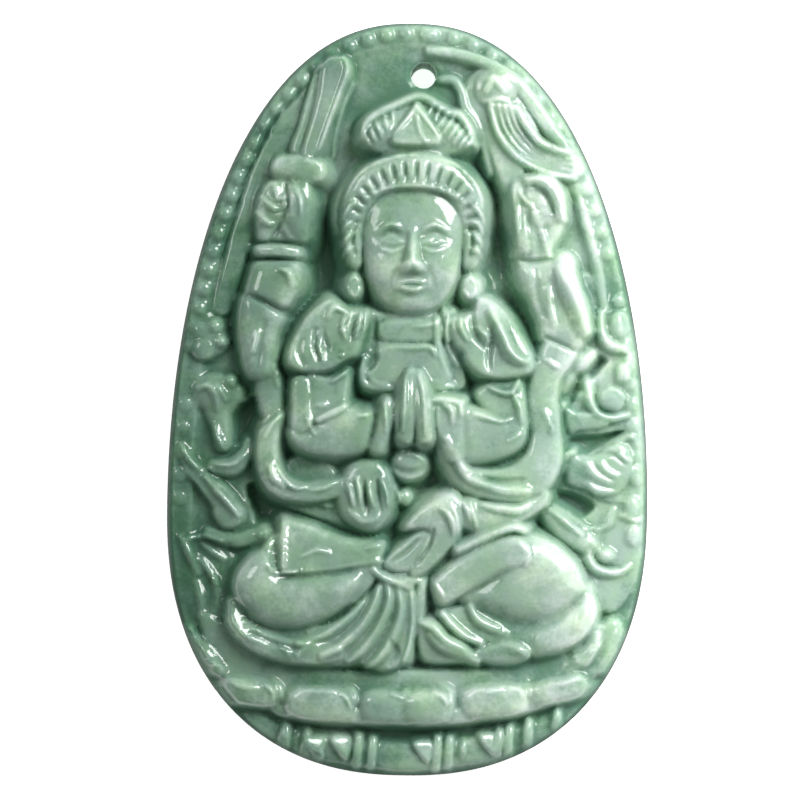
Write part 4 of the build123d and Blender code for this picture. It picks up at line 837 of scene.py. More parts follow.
def detail_torso(stone):
    # Collar on the left, its rounded corner and the hem
    stone.ridge([(-44, 40, 3, 58), (-46, 24, 3, 60), (-42, 14, 3, 60), (-30, 11, 3, 60),
        (-14, 11, 3, 62)], 0.8)
    stone.ridge([(-39, 25, 3, 60), (-34, 17, 3, 61), (-22, 14, 3, 62)], 0.8)
    stone.lines(((-43, 84, 5), (-44, 70, 8), (-46, 60, 4)))
    stone.fold([(-34, 78, 4, -3), (-33, 64, 4, -5), (-36, 50, 4, -3)])
    # Collar on the right in three lines, and the hem below the hands
    stone.ridge([(27, 78, 3, 66), (27, 60, 3, 68), (31, 42, 3, 68), (38, 24, 3, 64)], 0.8)
    stone.ridge([(35, 86, 3, 64), (37, 72, 3, 64), (39, 60, 3, 63)], 0.8)
    stone.lines(((40, 86, 4), (36, 70, 6), (38, 52, 6), (48, 34, 4)))
    stone.ridge([(14, 26, 3, 64), (20, 19, 3, 65), (30, 17, 3, 65), (38, 20, 3, 62)], 0.8)
    stone.ridge([(18, 14, 3, 62), (30, 12, 3, 64), (42, 14, 3, 62)], 0.8)
    # Upper edges of the neck band and chest
    stone.lines(((4, 72, 2), (16, 73, 5), (25, 75, 3)))
    stone.fold([(-20, 52, 3, 2), (4, 51, 3, 5), (20, 52, 4, 7), (26, 44, 3, 4)])
    # Pleats and creases of the left cape
    stone.fold([(-80, 80, 4, 4), (-74, 90, 5, 8), (-64, 86, 4, 5)])
    stone.lines(
        ((-62, 84, 4), (-66, 70, 9), (-62, 59, 5)), ((-57, 85, 4), (-59, 74, 8), (-61, 66, 4)),
        ((-48, 83, 4), (-50, 72, 9), (-53, 61, 5)), ((-54, 80, -4), (-56, 66, -6), (-56, 58, -3)),
        ((-92, 68, -4), (-92, 50, -7), (-88, 38, -4)), ((-90, 54, 3), (-87, 44, 6), (-84, 36, 4)))
    stone.fold([(-84, 70, 3, -2), (-82, 55, 4, -5), (-76, 44, 3, -5), (-68, 40, 3, -3)])
    stone.lines(((-78, 48, 3), (-74, 42, 5), (-66, 42, 3)))
    stone.fold([(-106, 58, 4, -2), (-108, 44, 4, -4), (-103, 32, 4, -3)])
    # Facet, pleat and creases of the right cape
    stone.folds(
        ((78, 89, 5, 4), (84, 77, 7, 9), (91, 62, 8, 11), (97, 48, 8, 11), (106, 40, 7, 8),
         (116, 40, 4, 4)), ((50, 82, 3, 4), (51, 70, 4, 9), (57, 59, 3, 5)))
    stone.lines(((66, 72, 4), (74, 64, 8), (78, 58, 5)), ((74, 68, 3), (79, 64, 5)))
    stone.folds(
        ((82, 76, 3, -3), (80, 58, 4, -6), (78, 40, 4, -6), (80, 28, 3, -3)),
        ((62, 90, 3, -4), (62, 76, 4, -7), (66, 62, 4, -7), (74, 52, 3, -4)))
    # Rims of the upper arms and forearms
    stone.lines(((-75, 17, 4), (-66, 23, 8), (-60, 29, 5)))
    stone.ridge([(-88, -21, 3, 80), (-76, -15, 3, 83), (-63, -8, 3, 81)], 0.8)
    stone.fold([(-48, -16, 4, 4), (-43, -15, 4, 6), (-38, -14, 3, 4)])
    stone.lines(((-97, -20, 3), (-96, -28, 5), (-92, -34, 3)))
    stone.folds(
        ((-90, -6, 4, 2), (-82, -6, 4, 4)),
        ((78, 14, 3, 4), (88, 9, 3, 8), (100, 8, 4, 8), (108, 20, 3, 5)),
        ((102, 7, 3, 4), (108, -4, 4, 8), (111, -20, 3, 5)),
        ((66, -13, 4, 4), (76, -16, 4, 9), (90, -20, 3, 7), (100, -18, 3, 4)))
    stone.lines(((99, -40, 3), (107, -34, 5)))


def carve_hands(stone):
    # Knot under the hands
    stone.dome(1, -63, 19, 18, 62, 16)
    # Two palms pressed together, with a thumb and a cuff beside them
    stone.ridge([(2, 25, 5, 82), (0, 8, 8, 92), (-2, -14, 10, 96), (-3, -34, 9, 90)], 0.7)
    stone.ridge([(9, 23, 5, 84), (12, 6, 7, 94), (14, -14, 8, 98), (16, -36, 8, 92)], 0.7)
    stone.ridge([(-20, -4, 5, 80), (-23, -22, 7, 87), (-30, -47, 8, 82)], 0.7)
    stone.panel([(25, 0, 76), (40, -2, 78), (55, -5, 80), (54, -30, 82), (55, -56, 80),
        (40, -60, 76), (33, -44, 78), (27, -22, 78)], 6, 0.6)
    # Lower left hand
    stone.panel([(-64, -76, 66), (-54, -63, 68), (-36, -58, 70), (-22, -66, 70), (-15, -84, 70),
        (-16, -110, 70), (-26, -127, 68), (-36, -131, 66), (-50, -127, 66), (-64, -116, 66),
        (-70, -96, 64)], 14, 0.6)
    stone.dome(-3, -97, 8, 9, 44, 8)
    # Lower right hand, reaching down to the left
    stone.panel([(12, -130, 68), (22, -131, 70), (20, -142, 70), (9, -157, 70), (3, -169, 68),
        (-13, -169, 66), (-23, -164, 64), (-18, -154, 65), (-2, -140, 67)], 6, 0.5)
    stone.panel([(-2, -127, 70), (6, -113, 74), (22, -101, 78), (44, -92, 79), (53, -104, 80),
        (52, -130, 79), (36, -152, 77), (14, -173, 72), (3, -171, 70), (9, -159, 72),
        (17, -143, 75), (23, -131, 76), (16, -127, 74)], 7, 0.6)


def detail_hands(stone):
    # Facets of the two palms and the thumbs
    stone.lines(
        ((-4, 24, 3), (-4, 4, 5), (-5, -30, 3)), ((-9, 10, -3), (-9, -10, -6), (-10, -32, -4)),
        ((10, 22, 4), (14, 8, 6), (17, -32, 3)), ((-24, -4, 4), (-22, -16, 7), (-21, -32, 4)),
        ((-29, -6, -3), (-33, -28, -5), (-38, -44, -3)), ((21, 0, 4), (20, -8, 4)))
    # Cuff on the right
    stone.ridge([(24, 0, 3, 82), (36, 0, 3, 83), (52, -3, 3, 81)], 0.8)
    stone.fold([(34, -4, 3, 4), (42, -10, 4, 8), (43, -22, 3, 4)])
    stone.lines(((51, -6, 5), (52, -14, 5)), ((28, -8, 3), (29, -24, 5), (31, -44, 3)))
    # Knot
    stone.lines(
        ((-12, -46, 3), (4, -43, 6), (18, -50, 4)), ((2, -52, 3), (12, -57, 6), (18, -61, 3)))
    stone.fold([(-14, -66, 4, -3), (0, -72, 5, -6), (16, -68, 4, -3)])
    # Fingers of the lower left hand
    stone.folds(
        ((-59, -83, 3, 5), (-55, -94, 4, 10), (-53, -104, 3, 5)),
        ((-50, -78, 3, 5), (-47, -90, 4, 8), (-46, -102, 3, 4)),
        ((-38, -83, 3, 5), (-36, -95, 4, 10), (-33, -105, 3, 5)))
    stone.lines(
        ((-25, -80, 5), (-20, -92, 9), (-19, -104, 5)),
        ((-12, -86, 5), (-8, -96, 8), (-10, -106, 4)),
        ((-43, -82, -4), (-41, -98, -8), (-39, -112, -4)),
        ((-30, -80, -4), (-28, -95, -7), (-26, -110, -4)))
    stone.fold([(-56, -112, 4, 3), (-44, -120, 5, 4), (-30, -118, 4, 3)])
    # Knuckles, fingers and cuffs of the lower right hand
    stone.fold([(32, -106, 3, 4), (39, -110, 4, 9), (45, -122, 4, 9), (46, -132, 3, 4)])
    stone.lines(
        ((41, -102, 4), (48, -114, 7), (51, -130, 4)), ((52, -96, 5), (58, -106, 9), (62, -118, 5)),
        ((61, -100, 4), (65, -112, 7), (68, -124, 4)),
        ((26, -128, -4), (22, -143, -8), (12, -158, -5)),
        ((-14, -158, -3), (-2, -150, -6), (10, -138, -3)))


def carve_head(stone):
    # Ears and ear drops
    for side in (-1, 1):
        mid = 2 + 57 * side
        stone.ridge([(mid, 176, 6, 60), (mid + 3 * side, 158, 9, 66), (mid, 136, 8, 60)], 0.6)
        stone.dome(mid + side, 111, 11, 15, 60, 14)
    # Crown, with a lobe each side of its middle leaf
    stone.panel([(-48, 250, 64), (-47, 262, 62), (-40, 272, 60), (-28, 281, 58), (-12, 289, 56),
        (3, 294, 56), (15, 293, 56), (28, 285, 58), (42, 277, 60), (54, 265, 62), (60, 249, 66),
        (34, 240, 74), (3, 238, 78), (-30, 240, 72)], 16, 0.7, 2)
    stone.dome(-27, 262, 16, 12, 70, 10, 20)
    stone.dome(34, 261, 16, 13, 73, 10, -20)
    stone.panel([(5, 292, 64), (12, 284, 68), (27, 256, 80), (20, 250, 82), (-12, 250, 82),
        (-19, 256, 80), (-2, 284, 68)], 5, 0.6)
    # Hair round the forehead
    stone.ridge([(-55, 152, 9, 62), (-57, 176, 12, 68), (-49, 201, 15, 76), (-30, 218, 16, 81),
        (2, 224, 17, 83), (34, 218, 16, 81), (53, 201, 15, 76), (61, 176, 12, 68),
        (59, 152, 9, 62)], 0.5)


def detail_head(stone):
    # Rim, leaf and rays of the crown
    stone.ridge([(-48, 256, 3, 62), (-46, 270, 3, 61), (-34, 281, 3, 60), (-14, 291, 3, 60),
        (4, 298, 3, 60), (17, 295, 3, 61), (36, 283, 3, 63), (47, 280, 3, 64), (57, 266, 3, 65),
        (60, 252, 3, 65)], 0.8)
    stone.fold([(4, 288, 3, 4), (14, 275, 4, 7), (28, 256, 3, 5)])
    stone.lines(
        ((3, 286, 3), (-8, 272, 5), (-22, 256, 4)), ((4, 280, 3), (7, 265, 4), (14, 252, 3)))
    for x0, y0, x1, y1 in (
            (20, 289, 16, 281), (27, 286, 22, 274), (34, 281, 25, 268), (41, 278, 31, 262),
            (47, 273, 36, 256), (52, 268, 41, 252), (56, 262, 47, 249), (58, 254, 53, 248),
            (-20, 283, -18, 274), (-28, 279, -24, 266), (-36, 273, -30, 258),
            (-42, 267, -36, 254), (-46, 259, -42, 250)):
        stone.lines(((x0, y0, 4), ((x0 + x1) / 2, (y0 + y1) / 2, 9), (x1, y1, 4)))
    # Hair: a rim, a fringe of locks and the band along the forehead
    stone.lines(((-66, 198, 3), (-46, 226, 5), (0, 241, 6), (36, 236, 7), (60, 216, 7),
        (71, 196, 4)))
    for lock in range(-8, 9):
        lean = radians(11 * lock + 3)
        away, lift = np.sin(lean), np.cos(lean)
        stone.lines(((2 + 52 * away, 170 + 45 * lift, -3), (2 + 57 * away, 170 + 53 * lift, -8),
            (2 + 63 * away, 170 + 61 * lift, -5)))
    stone.fold([(-46, 196, 4, 3), (-26, 205, 4, 6), (2, 208, 4, 7), (30, 205, 4, 7),
        (50, 196, 4, 3)])
    # Fuller hair over the left ear
    stone.ridge([(-56, 214, 5, 56), (-65, 200, 7, 52), (-70, 184, 7, 50), (-69, 168, 6, 48),
        (-63, 154, 5, 46)], 0.7)
    # Wavy locks beside the ears
    for side in (-1, 1):
        for y, turn in ((184, 8), (170, 6), (157, 6), (144, 5)):
            x = 2 + 64 * side
            stone.fold([(x - 7 * side, y + turn, 3, 3), (x, y + 2, 3.5, 8),
                (x + 6 * side, y - turn, 3, 3)])
    # Ear folds, and a ring round each drop
    for side in (-1, 1):
        mid = 2 + 57 * side
        stone.lines(
            ((mid - side, 168, -4), (mid + 2 * side, 156, -7), (mid - side, 142, -4)),
            ((mid - 7, 108, 3), (mid, 101, 6), (mid + 7, 108, 3)),
            ((mid - 5, 116, 3), (mid, 121, 5), (mid + 5, 116, 3)))


def carve_face(stone):
    """A calm, even face: thirds from hairline to brow, nose and chin, eyes a fifth of it wide."""
    mid = 2
    stone.dome(mid, 149, 49, 66, 79, 22, 0, 2.2, 2.6, 0.12)
    stone.swell(mid, 96, 16, 10, 5)
    for side in (-1, 1):
        stone.swell(mid + 25 * side, 132, 17, 20, 5)
        stone.swell(mid + 20 * side, 160, 14, 9, -6)
        stone.swell(mid + 20 * side, 153, 12, 6, 6)
    stone.fold([(mid, 170, 6, 0), (mid, 158, 7, 8), (mid, 142, 9, 20), (mid, 131, 11, 23),
        (mid, 123, 11, 0)])
    stone.swell(mid, 112, 17, 6, 7)


def detail_face(stone):
    """Closed eyes under arched brows, a straight nose with soft wings, and a small even mouth."""
    mid = 2
    for side in (-1, 1):
        # Brow, upper lid, the line of the closed eye and the lower lid
        stone.fold([(mid + 8 * side, 164, 4, 1), (mid + 21 * side, 171, 4, 7),
            (mid + 37 * side, 163, 3, 1)])
        stone.lines(((mid + 9 * side, 154, 2), (mid + 21 * side, 160, 5),
            (mid + 33 * side, 155, 2)))
        stone.fold([(mid + 9 * side, 152, 2.5, -2), (mid + 21 * side, 149.5, 3, -7),
            (mid + 34 * side, 153, 2.5, -2)])
        stone.lines(((mid + 11 * side, 148, 1), (mid + 21 * side, 145, 3),
            (mid + 32 * side, 149, 1)))
        # Wing of the nose, and the fold beside the mouth
        stone.swell(mid + 8 * side, 129, 5.5, 5.5, 9)
        stone.fold([(mid + 14 * side, 130, 4, -1), (mid + 20 * side, 121, 4, -2),
            (mid + 22 * side, 112, 4, -1)])
    # Lips with a soft line between, and the dip over the chin
    stone.lines(((mid - 13, 113, 2), (mid - 4, 116.5, 5), (mid + 4, 116.5, 5), (mid + 13, 113, 2)))
    stone.folds(
        ((mid - 14, 113, 2.5, -3), (mid, 112, 3, -7), (mid + 14, 113, 2.5, -3)),
        ((mid - 10, 109, 3, 2), (mid, 107, 4, 7), (mid + 10, 109, 3, 2)),
        ((mid - 9, 102, 3, -1), (mid, 101, 4, -3), (mid + 9, 102, 3, -1)))


def carved_height(x, y):
    """The whole carving over points in squares, in millimetres over the deepest ground."""
    stone = Relief(x, y)
    edge_x, edge_y = outline(np.linspace(0, 2 * pi, 361))
    edge = from_line(x, y, edge_x, edge_y)
    carve_ground(stone, edge)
    carve_border(stone, edge)
    detail_border(stone)
    for carve, detail in ((carve_left_arm, detail_left_arm), (carve_right_arm, detail_right_arm),
                          (carve_left_gifts, detail_left_gifts),
                          (carve_right_gifts, detail_right_gifts), (carve_lotus, detail_lotus),
                          (carve_robe, detail_robe), (carve_ribbons, detail_ribbons),
                          (carve_torso, detail_torso), (carve_hands, detail_hands),
                          (carve_head, detail_head), (carve_face, detail_face)):
        carve(stone)
        detail(stone)
    # The front edge is rounded over
    run = edge * SQUARE / FRONT_ROUND
    shelf = FRONT_LOW + (FRONT_TOP - FRONT_LOW) * np.sqrt(1 - (1 - np.minimum(run, 1)) ** 2)
    return np.clip(stone.height, 0, shelf / 100 * RELIEF + FRONT_RISE * np.maximum(run - 1, 0))


def plan_points():
    """Grid corners over the plate: a square grid drawn into a disc, then stretched to the outline.

    Steps are closer together in the middle: t becomes t - k sin(pi t) / pi.
    """
    run_across, run_up = np.linspace(-1, 1, COLUMNS + 1), np.linspace(-1, 1, ROWS + 1)
    across, upward = np.meshgrid(run_across - CROWDING * np.sin(pi * run_across) / pi, run_up)
    wide = abs(across) > abs(upward)
    long_side = np.where(wide, across, upward)
    share = np.where(wide, upward, across) / np.where(long_side == 0, 1, long_side)
    turn = np.where(wide, share, 2 - share) * pi / 4
    u, v = long_side * np.cos(turn), long_side * np.sin(turn)
    edge_x, edge_y = outline(np.linspace(-pi, pi, 4001))
    edge_x, edge_y = edge_x / HALF_ACROSS, edge_y / HALF_UP
    facing = np.unwrap(np.arctan2(edge_y, edge_x))
    reach = np.interp(np.arctan2(v, u), facing, np.hypot(edge_x, edge_y), period=2 * pi)
    return u * reach * HALF_ACROSS, v * reach * HALF_UP


def softened(values, times):
    """Each value averaged with its neighbours: one part, two parts and one part, a few times."""
    for _ in range(times):
        values = np.pad(values, 1, mode="edge")
        values = (values[:-2] + 2 * values[1:-1] + values[2:]) / 4
        values = (values[:, :-2] + 2 * values[:, 1:-1] + values[:, 2:]) / 4
    return values


def blurred(values, reach):
    """The mean of the values up to a number of steps away along both grid lines, taken twice."""
    span = 2 * reach + 1
    for axis in (0, 1) * 2:
        padded = np.pad(np.moveaxis(values, axis, 0), ((reach + 1, reach), (0, 0)), mode="edge")
        total = np.cumsum(padded, axis=0)
        values = np.moveaxis((total[span:] - total[:-span]) / span, 0, axis)
    return values


def steepness(x, y, height):
    """Rise over run on a bent grid: the height's steps along both lines, solved for x and y."""
    (x_up, x_on), (y_up, y_on), (rise_up, rise_on) = (np.gradient(grid) for grid in (x, y, height))
    area = x_up * y_on - x_on * y_up
    area = np.where(abs(area) < 1e-6, 1e-6, area)
    return np.hypot(rise_up * y_on - rise_on * y_up, x_up * rise_on - x_on * rise_up) / abs(area)


def from_hole(x, y):
    """Distance in millimetres from the wall of the cord hole, under nought inside it."""
    return np.hypot(x - HOLE_ASIDE, y - HEIGHT / 2 + HOLE_FROM_TOP) - HOLE_DIAMETER / 2


def front_grid():
    """Places on the carved front in metres, and its tones and polish: raised, polish and rim.

    What is high or stands out is raised: painted paler, with painted shade in hollows and creases
    over the stone's own deeper green there; less on the band, and steep walls get painted shade.
    The rim is a painted dark line, and it fades with the square of the distance from the edge.
    Polish goes with raised, less at the rim and walls.
    """
    x, y = plan_points()
    edge_x, edge_y = outline(np.linspace(0, 2 * pi, 721))
    edge = from_line(x.ravel(), y.ravel(), edge_x, edge_y).reshape(x.shape)
    height = carved_height(x.ravel(), y.ravel()).reshape(x.shape)
    height = (height + softened(height, 1)) / 2
    # The cord hole's lip is rubbed round
    height -= HOLE_LIP * np.exp(-(from_hole(x * SQUARE, y * HEIGHT / SQUARES_UP) / HOLE_LIP) ** 2)
    places = np.stack([x * SQUARE, y * HEIGHT / SQUARES_UP, FLOOR_THICKNESS + height], axis=2) * MM
    # Painted shade in hollows and creases and painted highlight on tops and edges
    tone = TONE_OF_GROUND + TONE_OF_HEIGHT * height / RELIEF
    for steps, share, least, most in STAND_OUT:
        tone += np.clip(share * (height - blurred(height, steps)) / RELIEF, least, most)
    band = BAND_SHADE / (1 + np.exp((edge - BAND_EDGE) / 1.5))
    # Painted shade on steep walls, most of all near the rim
    wall = np.clip(softened(steepness(x * SQUARE, y * SQUARE, height), 1) - STEEP, 0, STEEPEST)
    near_rim = np.exp(-(edge / WALL_RIM_REACH) ** 2)
    wall_shade = (WALL_SHADE + WALL_SHADE_AT_RIM * near_rim) * wall
    raised = np.clip(tone - band - wall_shade, LEAST_TONE, 1)
    # Painted shade: a dark line round the edge
    rim = np.clip(np.exp(-(edge / RIM_REACH) ** 2), 0.001, 1)
    polish = np.clip(2 * raised + 0.1, 0, 1) * (1 - rim) ** 4 * (1 - 0.45 * wall)
    return places, {"raised": raised, "polish": softened(polish, 1), "rim": rim}


def plate_mesh():
    """The front grid, a straight side, a bevel and a flat back, closed all round."""
    front, painted_tones_and_polish = front_grid()
    rows, columns = front.shape[:2]
    index = np.arange(rows * columns).reshape(rows, columns)
    corners = index[:-1, :-1], index[:-1, 1:], index[1:, 1:], index[1:, :-1]
    quads = np.stack(corners, axis=2).reshape(-1, 4)
    border = np.concatenate([index[0, :-1], index[:-1, -1], index[-1, :0:-1], index[:0:-1, 0]])
    around = front.reshape(-1, 3)[border]
    # Rings down the side and round the bevel: size as a share of the plate's, and height
    round_off = BACK_ROUND / WIDTH
    levels = ((1, 1.6), (1, 0.8), (1, BACK_ROUND), (1 - 0.3 * round_off, 0.3 * BACK_ROUND),
              (1 - round_off, 0.08 * BACK_ROUND), (1 - 2 * round_off, 0))
    count, start = len(border), rows * columns
    rings = [np.column_stack([around[:, :2] * scale, np.full(count, level * MM)])
             for scale, level in levels]
    loops = [border] + [start + count * n + np.arange(count) for n in range(len(levels))]
    sides = [np.stack([upper, lower, np.roll(lower, -1), np.roll(upper, -1)], axis=1)
             for upper, lower in zip(loops[:-1], loops[1:])]
    middle = start + count * len(levels)
    last = loops[-1]
    back = np.stack([last, np.full(count, middle), np.roll(last, -1)], axis=1)
    points = np.concatenate([front.reshape(-1, 3)] + rings + [np.zeros((1, 3))])
    mesh = bpy.data.meshes.new("jade_carving")
    mesh.from_pydata(points.tolist(), [], np.concatenate([quads] + sides).tolist() + back.tolist())
    mesh.shade_smooth()
    for name, side in SIDE_SHADE_AND_POLISH:
        values = np.concatenate([painted_tones_and_polish[name].ravel(), np.full(len(points) - start, side)])
        mesh.attributes.new(name, "FLOAT", "POINT").data.foreach_set("value", values)
    mesh.validate()
    return mesh


def drill(plate):
    """Takes a round bar out of the plate for the cord, and gives the new wall its tones: painted
    pale, a painted glow, with no polish and no rim.
    """
    count, under, over = 64, -5.0, 15.0
    turn = np.linspace(0, 2 * pi, count, endpoint=False)
    circle = np.column_stack([HOLE_ASIDE + HOLE_DIAMETER / 2 * np.cos(turn),
                              HEIGHT / 2 - HOLE_FROM_TOP + HOLE_DIAMETER / 2 * np.sin(turn)])
    ends = [np.column_stack([circle, np.full(count, level)]) for level in (under, over)]
    low = np.arange(count)
    low_next = (low + 1) % count
    walls = np.stack([low, low_next, low_next + count, low + count], axis=1).tolist()
    caps = [low[::-1].tolist(), (low + count).tolist()]
    bar_mesh = bpy.data.meshes.new("cord_bar")
    bar_mesh.from_pydata((np.concatenate(ends) * MM).tolist(), [], walls + caps)
    bar = bpy.data.objects.new("cord_bar", bar_mesh)
    bpy.context.collection.objects.link(bar)
    cut = plate.modifiers.new("cord hole", "BOOLEAN")
    cut.operation, cut.object, cut.solver = "DIFFERENCE", bar, "EXACT"
    finished = plate.evaluated_get(bpy.context.evaluated_depsgraph_get())
    mesh = bpy.data.meshes.new_from_object(finished)
    plate.modifiers.clear()
    plate.data = mesh
    mesh.name = "jade_carving"
    bpy.data.objects.remove(bar)
    places = np.zeros(3 * len(mesh.vertices))
    mesh.vertices.foreach_get("co", places)
    on_wall = from_hole(places[::3] / MM, places[1::3] / MM) < 0.02
    for name, shade in HOLE_GLOW_AND_POLISH:
        values = np.zeros(len(mesh.vertices))
        mesh.attributes[name].data.foreach_get("value", values)
        mesh.attributes[name].data.foreach_set("value", np.where(on_wall, shade, values))
    mesh.shade_smooth()
    mesh.set_sharp_from_angle(angle=radians(70))


# Paler and darker places in millimetres: x, y, reach and how much paler; partly the stone's own
# milky and dark places, partly painted highlights and painted shade
PATCH_LEVEL = 5
PATCHES = [(12, 14, 8, 0.26), (12.5, -13, 6.5, 0.14), (6, 23, 5, 0.24), (16.5, 4, 5, 0.12),
           (5, -27.5, 6, 0.12), (-7.5, -21.5, 6.5, 0.22), (10, 20, 6, 0.16), (27, 3, 14, 0.5),
           (-5, 19.5, 4.5, 0.12), (16.5, -4, 4.5, 0.12), (-14, -9, 6, 0.1), (-3, 25, 7, -0.14),
           (-4, 12.5, 6.5, -0.22), (12, -4, 8, -0.16), (-7.5, -9.5, 6, -0.2),
           (-15.5, -0.5, 6, -0.18), (4.5, -17, 5.5, -0.2), (0, -24, 7, -0.2),
           (10, 8.5, 5.5, 0.16), (-13.5, 17, 6, -0.12)]


class Nodes:
    """Short ways to lay out a material's nodes."""

    def __init__(self, name):
        self.material = bpy.data.materials.new(name)
        self.material.use_nodes = True
        self.tree = self.material.node_tree
        self.shader = self.tree.nodes["Principled BSDF"]

    def add(self, kind, settings=None, **values):
        """A node of a kind with its settings, and values or links for its named inputs."""
        node = self.tree.nodes.new("ShaderNode" + kind)
        for name, value in (settings or {}).items():
            setattr(node, name, value)
        for name, value in values.items():
            self.feed(node.inputs[name.replace("_", " ")], value)
        return node

    def feed(self, socket, value):
        """Links an input to another node, or sets it to a plain value."""
        if isinstance(value, bpy.types.NodeSocket):
            self.tree.links.new(value, socket)
        else:
            socket.default_value = value

    def sum(self, kind, *values, clamp=False):
        """The result of a math node. MULTIPLY_ADD takes value, slope and start of a line."""
        node = self.add("Math", {"operation": kind, "use_clamp": clamp})
        for socket, value in zip(node.inputs, values):
            self.feed(socket, value)
        return node.outputs[0]

    def mix(self, share, first, second, kind="MIX"):
        """Two colours mixed: the first where the share is nought, the second where it is one."""
        node = self.add("Mix", {"data_type": "RGBA", "blend_type": kind})
        for socket, value in zip((node.inputs[0], node.inputs[6], node.inputs[7]),
                                 (share, first, second)):
            self.feed(socket, value)
        return node.outputs[2]

    def attribute(self, name):
        """A value that the mesh holds for each of its points."""
        return self.add("Attribute", {"attribute_name": name}).outputs["Fac"]

    def ramp(self, share, *stops):
        """A colour by a share, eased between stops of place and colour."""
        node = self.add("ValToRGB", Fac=share)
        node.color_ramp.interpolation = "EASE"
        while len(node.color_ramp.elements) < len(stops):
            node.color_ramp.elements.new(0.5)
        for element, (place, colour) in zip(node.color_ramp.elements, stops):
            element.position = place
            element.color = colour
        return node.outputs["Color"]


def colour(values):
    """Red, green and blue with full cover."""
    return (*values, 1)


def jade_material(look):
    """Polished jade, deep green where it is cut away and milky where it stands out: partly its own
    colour, partly painted shade in the hollows and painted highlight on the tops.
    """
    jade = Nodes("jade")
    where = jade.add("TexCoord").outputs["Object"]
    clouds = jade.add("TexNoise", Vector=where, Scale=170, Detail=4, Roughness=0.55).outputs["Fac"]
    flecks = jade.add("TexNoise", Vector=where, Scale=900, Detail=5, Roughness=0.65).outputs["Fac"]
    grain = jade.add("TexNoise", Vector=where, Scale=3000, Detail=3, Roughness=0.6).outputs["Fac"]
    raised = jade.attribute("raised")
    # How pale the stone is: raised, with its painted shade and painted highlight, plus clouds,
    # flecks and grain, each round nought, and patches, partly painted highlight and shade
    lift = jade.sum("MULTIPLY_ADD", clouds, 1.3, -0.65)
    speck = jade.sum("MULTIPLY_ADD", flecks, 0.36, -0.18)
    grit = jade.sum("MULTIPLY_ADD", grain, 0.32, -0.16)
    share = jade.sum("ADD", jade.sum("ADD", raised, lift), jade.sum("ADD", speck, grit))
    for x, y, reach, paler_by in PATCHES:
        away = jade.add("VectorMath", {"operation": "DISTANCE"})
        jade.feed(away.inputs[0], where)
        away.inputs[1].default_value = (x * MM, y * MM, PATCH_LEVEL * MM)
        smooth = {"interpolation_type": "SMOOTHSTEP"}
        fade = jade.add("MapRange", smooth, Value=away.outputs["Value"])
        for name, value in (("From Max", reach * MM), ("To Min", paler_by), ("To Max", 0)):
            fade.inputs[name].default_value = value
        share = jade.sum("ADD", share, fade.outputs["Result"])
    share = jade.sum("ADD", share, 0, clamp=True)
    left_tint = jade.ramp(share, (0.10, colour(look.deep_left)), (0.52, colour(look.body_left)),
                          (0.95, colour(look.pale_left)))
    right_tint = jade.ramp(share, (0.10, colour(look.deep_right)), (0.52, colour(look.body_right)),
                           (0.95, colour(look.pale_right)))
    # Grey green on the left and mint on the right, with a cloudy border between them: partly the
    # stone's own colour, partly painted light, paler toward the key lamp on the right
    place = jade.add("SeparateXYZ", Vector=where).outputs
    right = jade.sum("MULTIPLY_ADD", place["X"], 1 / (WIDTH * MM), 0.5, clamp=True)
    side = jade.sum("ADD", right, jade.sum("MULTIPLY_ADD", clouds, 0.5, -0.25), clamp=True)
    stone = jade.mix(side, left_tint, right_tint)
    rim = jade.attribute("rim")
    inside = jade.sum("SUBTRACT", 1, rim)
    # Painted shade: toward near-black in a line round the edge, and on the darker side and back
    stone = jade.mix(jade.sum("POWER", rim, 2), stone, colour(look.rim))
    # Warmer and cooler green in small patches
    shades = jade.add("TexNoise", Vector=where, Scale=420, Detail=4, Roughness=0.6).outputs["Fac"]
    warmth = jade.sum("MULTIPLY_ADD", shades, 4, -1.6, clamp=True)
    stone = jade.mix(1, stone, jade.mix(warmth, colour(look.cool), colour(look.warm)), "MULTIPLY")
    polish = jade.attribute("polish")
    shader = jade.shader
    jade.feed(shader.inputs["Base Color"], stone)
    # Cut-away walls and the rim are duller than the tops
    dull = jade.sum("MULTIPLY_ADD", polish, -0.45, 0.45)
    jade.feed(shader.inputs["Roughness"],
            jade.sum("ADD", dull, jade.sum("MULTIPLY_ADD", flecks, 0.12, 0.16)))
    shader.inputs["IOR"].default_value = 1.6
    jade.feed(shader.inputs["Subsurface Weight"], jade.sum("MULTIPLY", inside, 0.7))
    shader.inputs["Subsurface Radius"].default_value = (0.8, 1.0, 0.85)
    shader.inputs["Subsurface Scale"].default_value = 0.0018
    jade.feed(shader.inputs["Coat Weight"], polish)
    shader.inputs["Specular IOR Level"].default_value = 0.12
    shader.inputs["Coat Roughness"].default_value = 0.06
    waves = jade.sum("ADD", jade.sum("MULTIPLY", shades, 1.5), flecks)
    bump = jade.add("Bump", Strength=0.25, Distance=0.0002, Height=waves)
    jade.feed(shader.inputs["Normal"], bump.outputs["Normal"])
    return jade.material


def table_material(shade):
    """A plain pale top that glows a little, as a light table does."""
    table = Nodes("pale table")
    table.shader.inputs["Base Color"].default_value = colour(shade)
    table.shader.inputs["Roughness"].default_value = 0.9
    table.shader.inputs["Specular IOR Level"].default_value = 0.1
    table.shader.inputs["Emission Color"].default_value = colour(shade)
    table.shader.inputs["Emission Strength"].default_value = 0.9
    return table.material


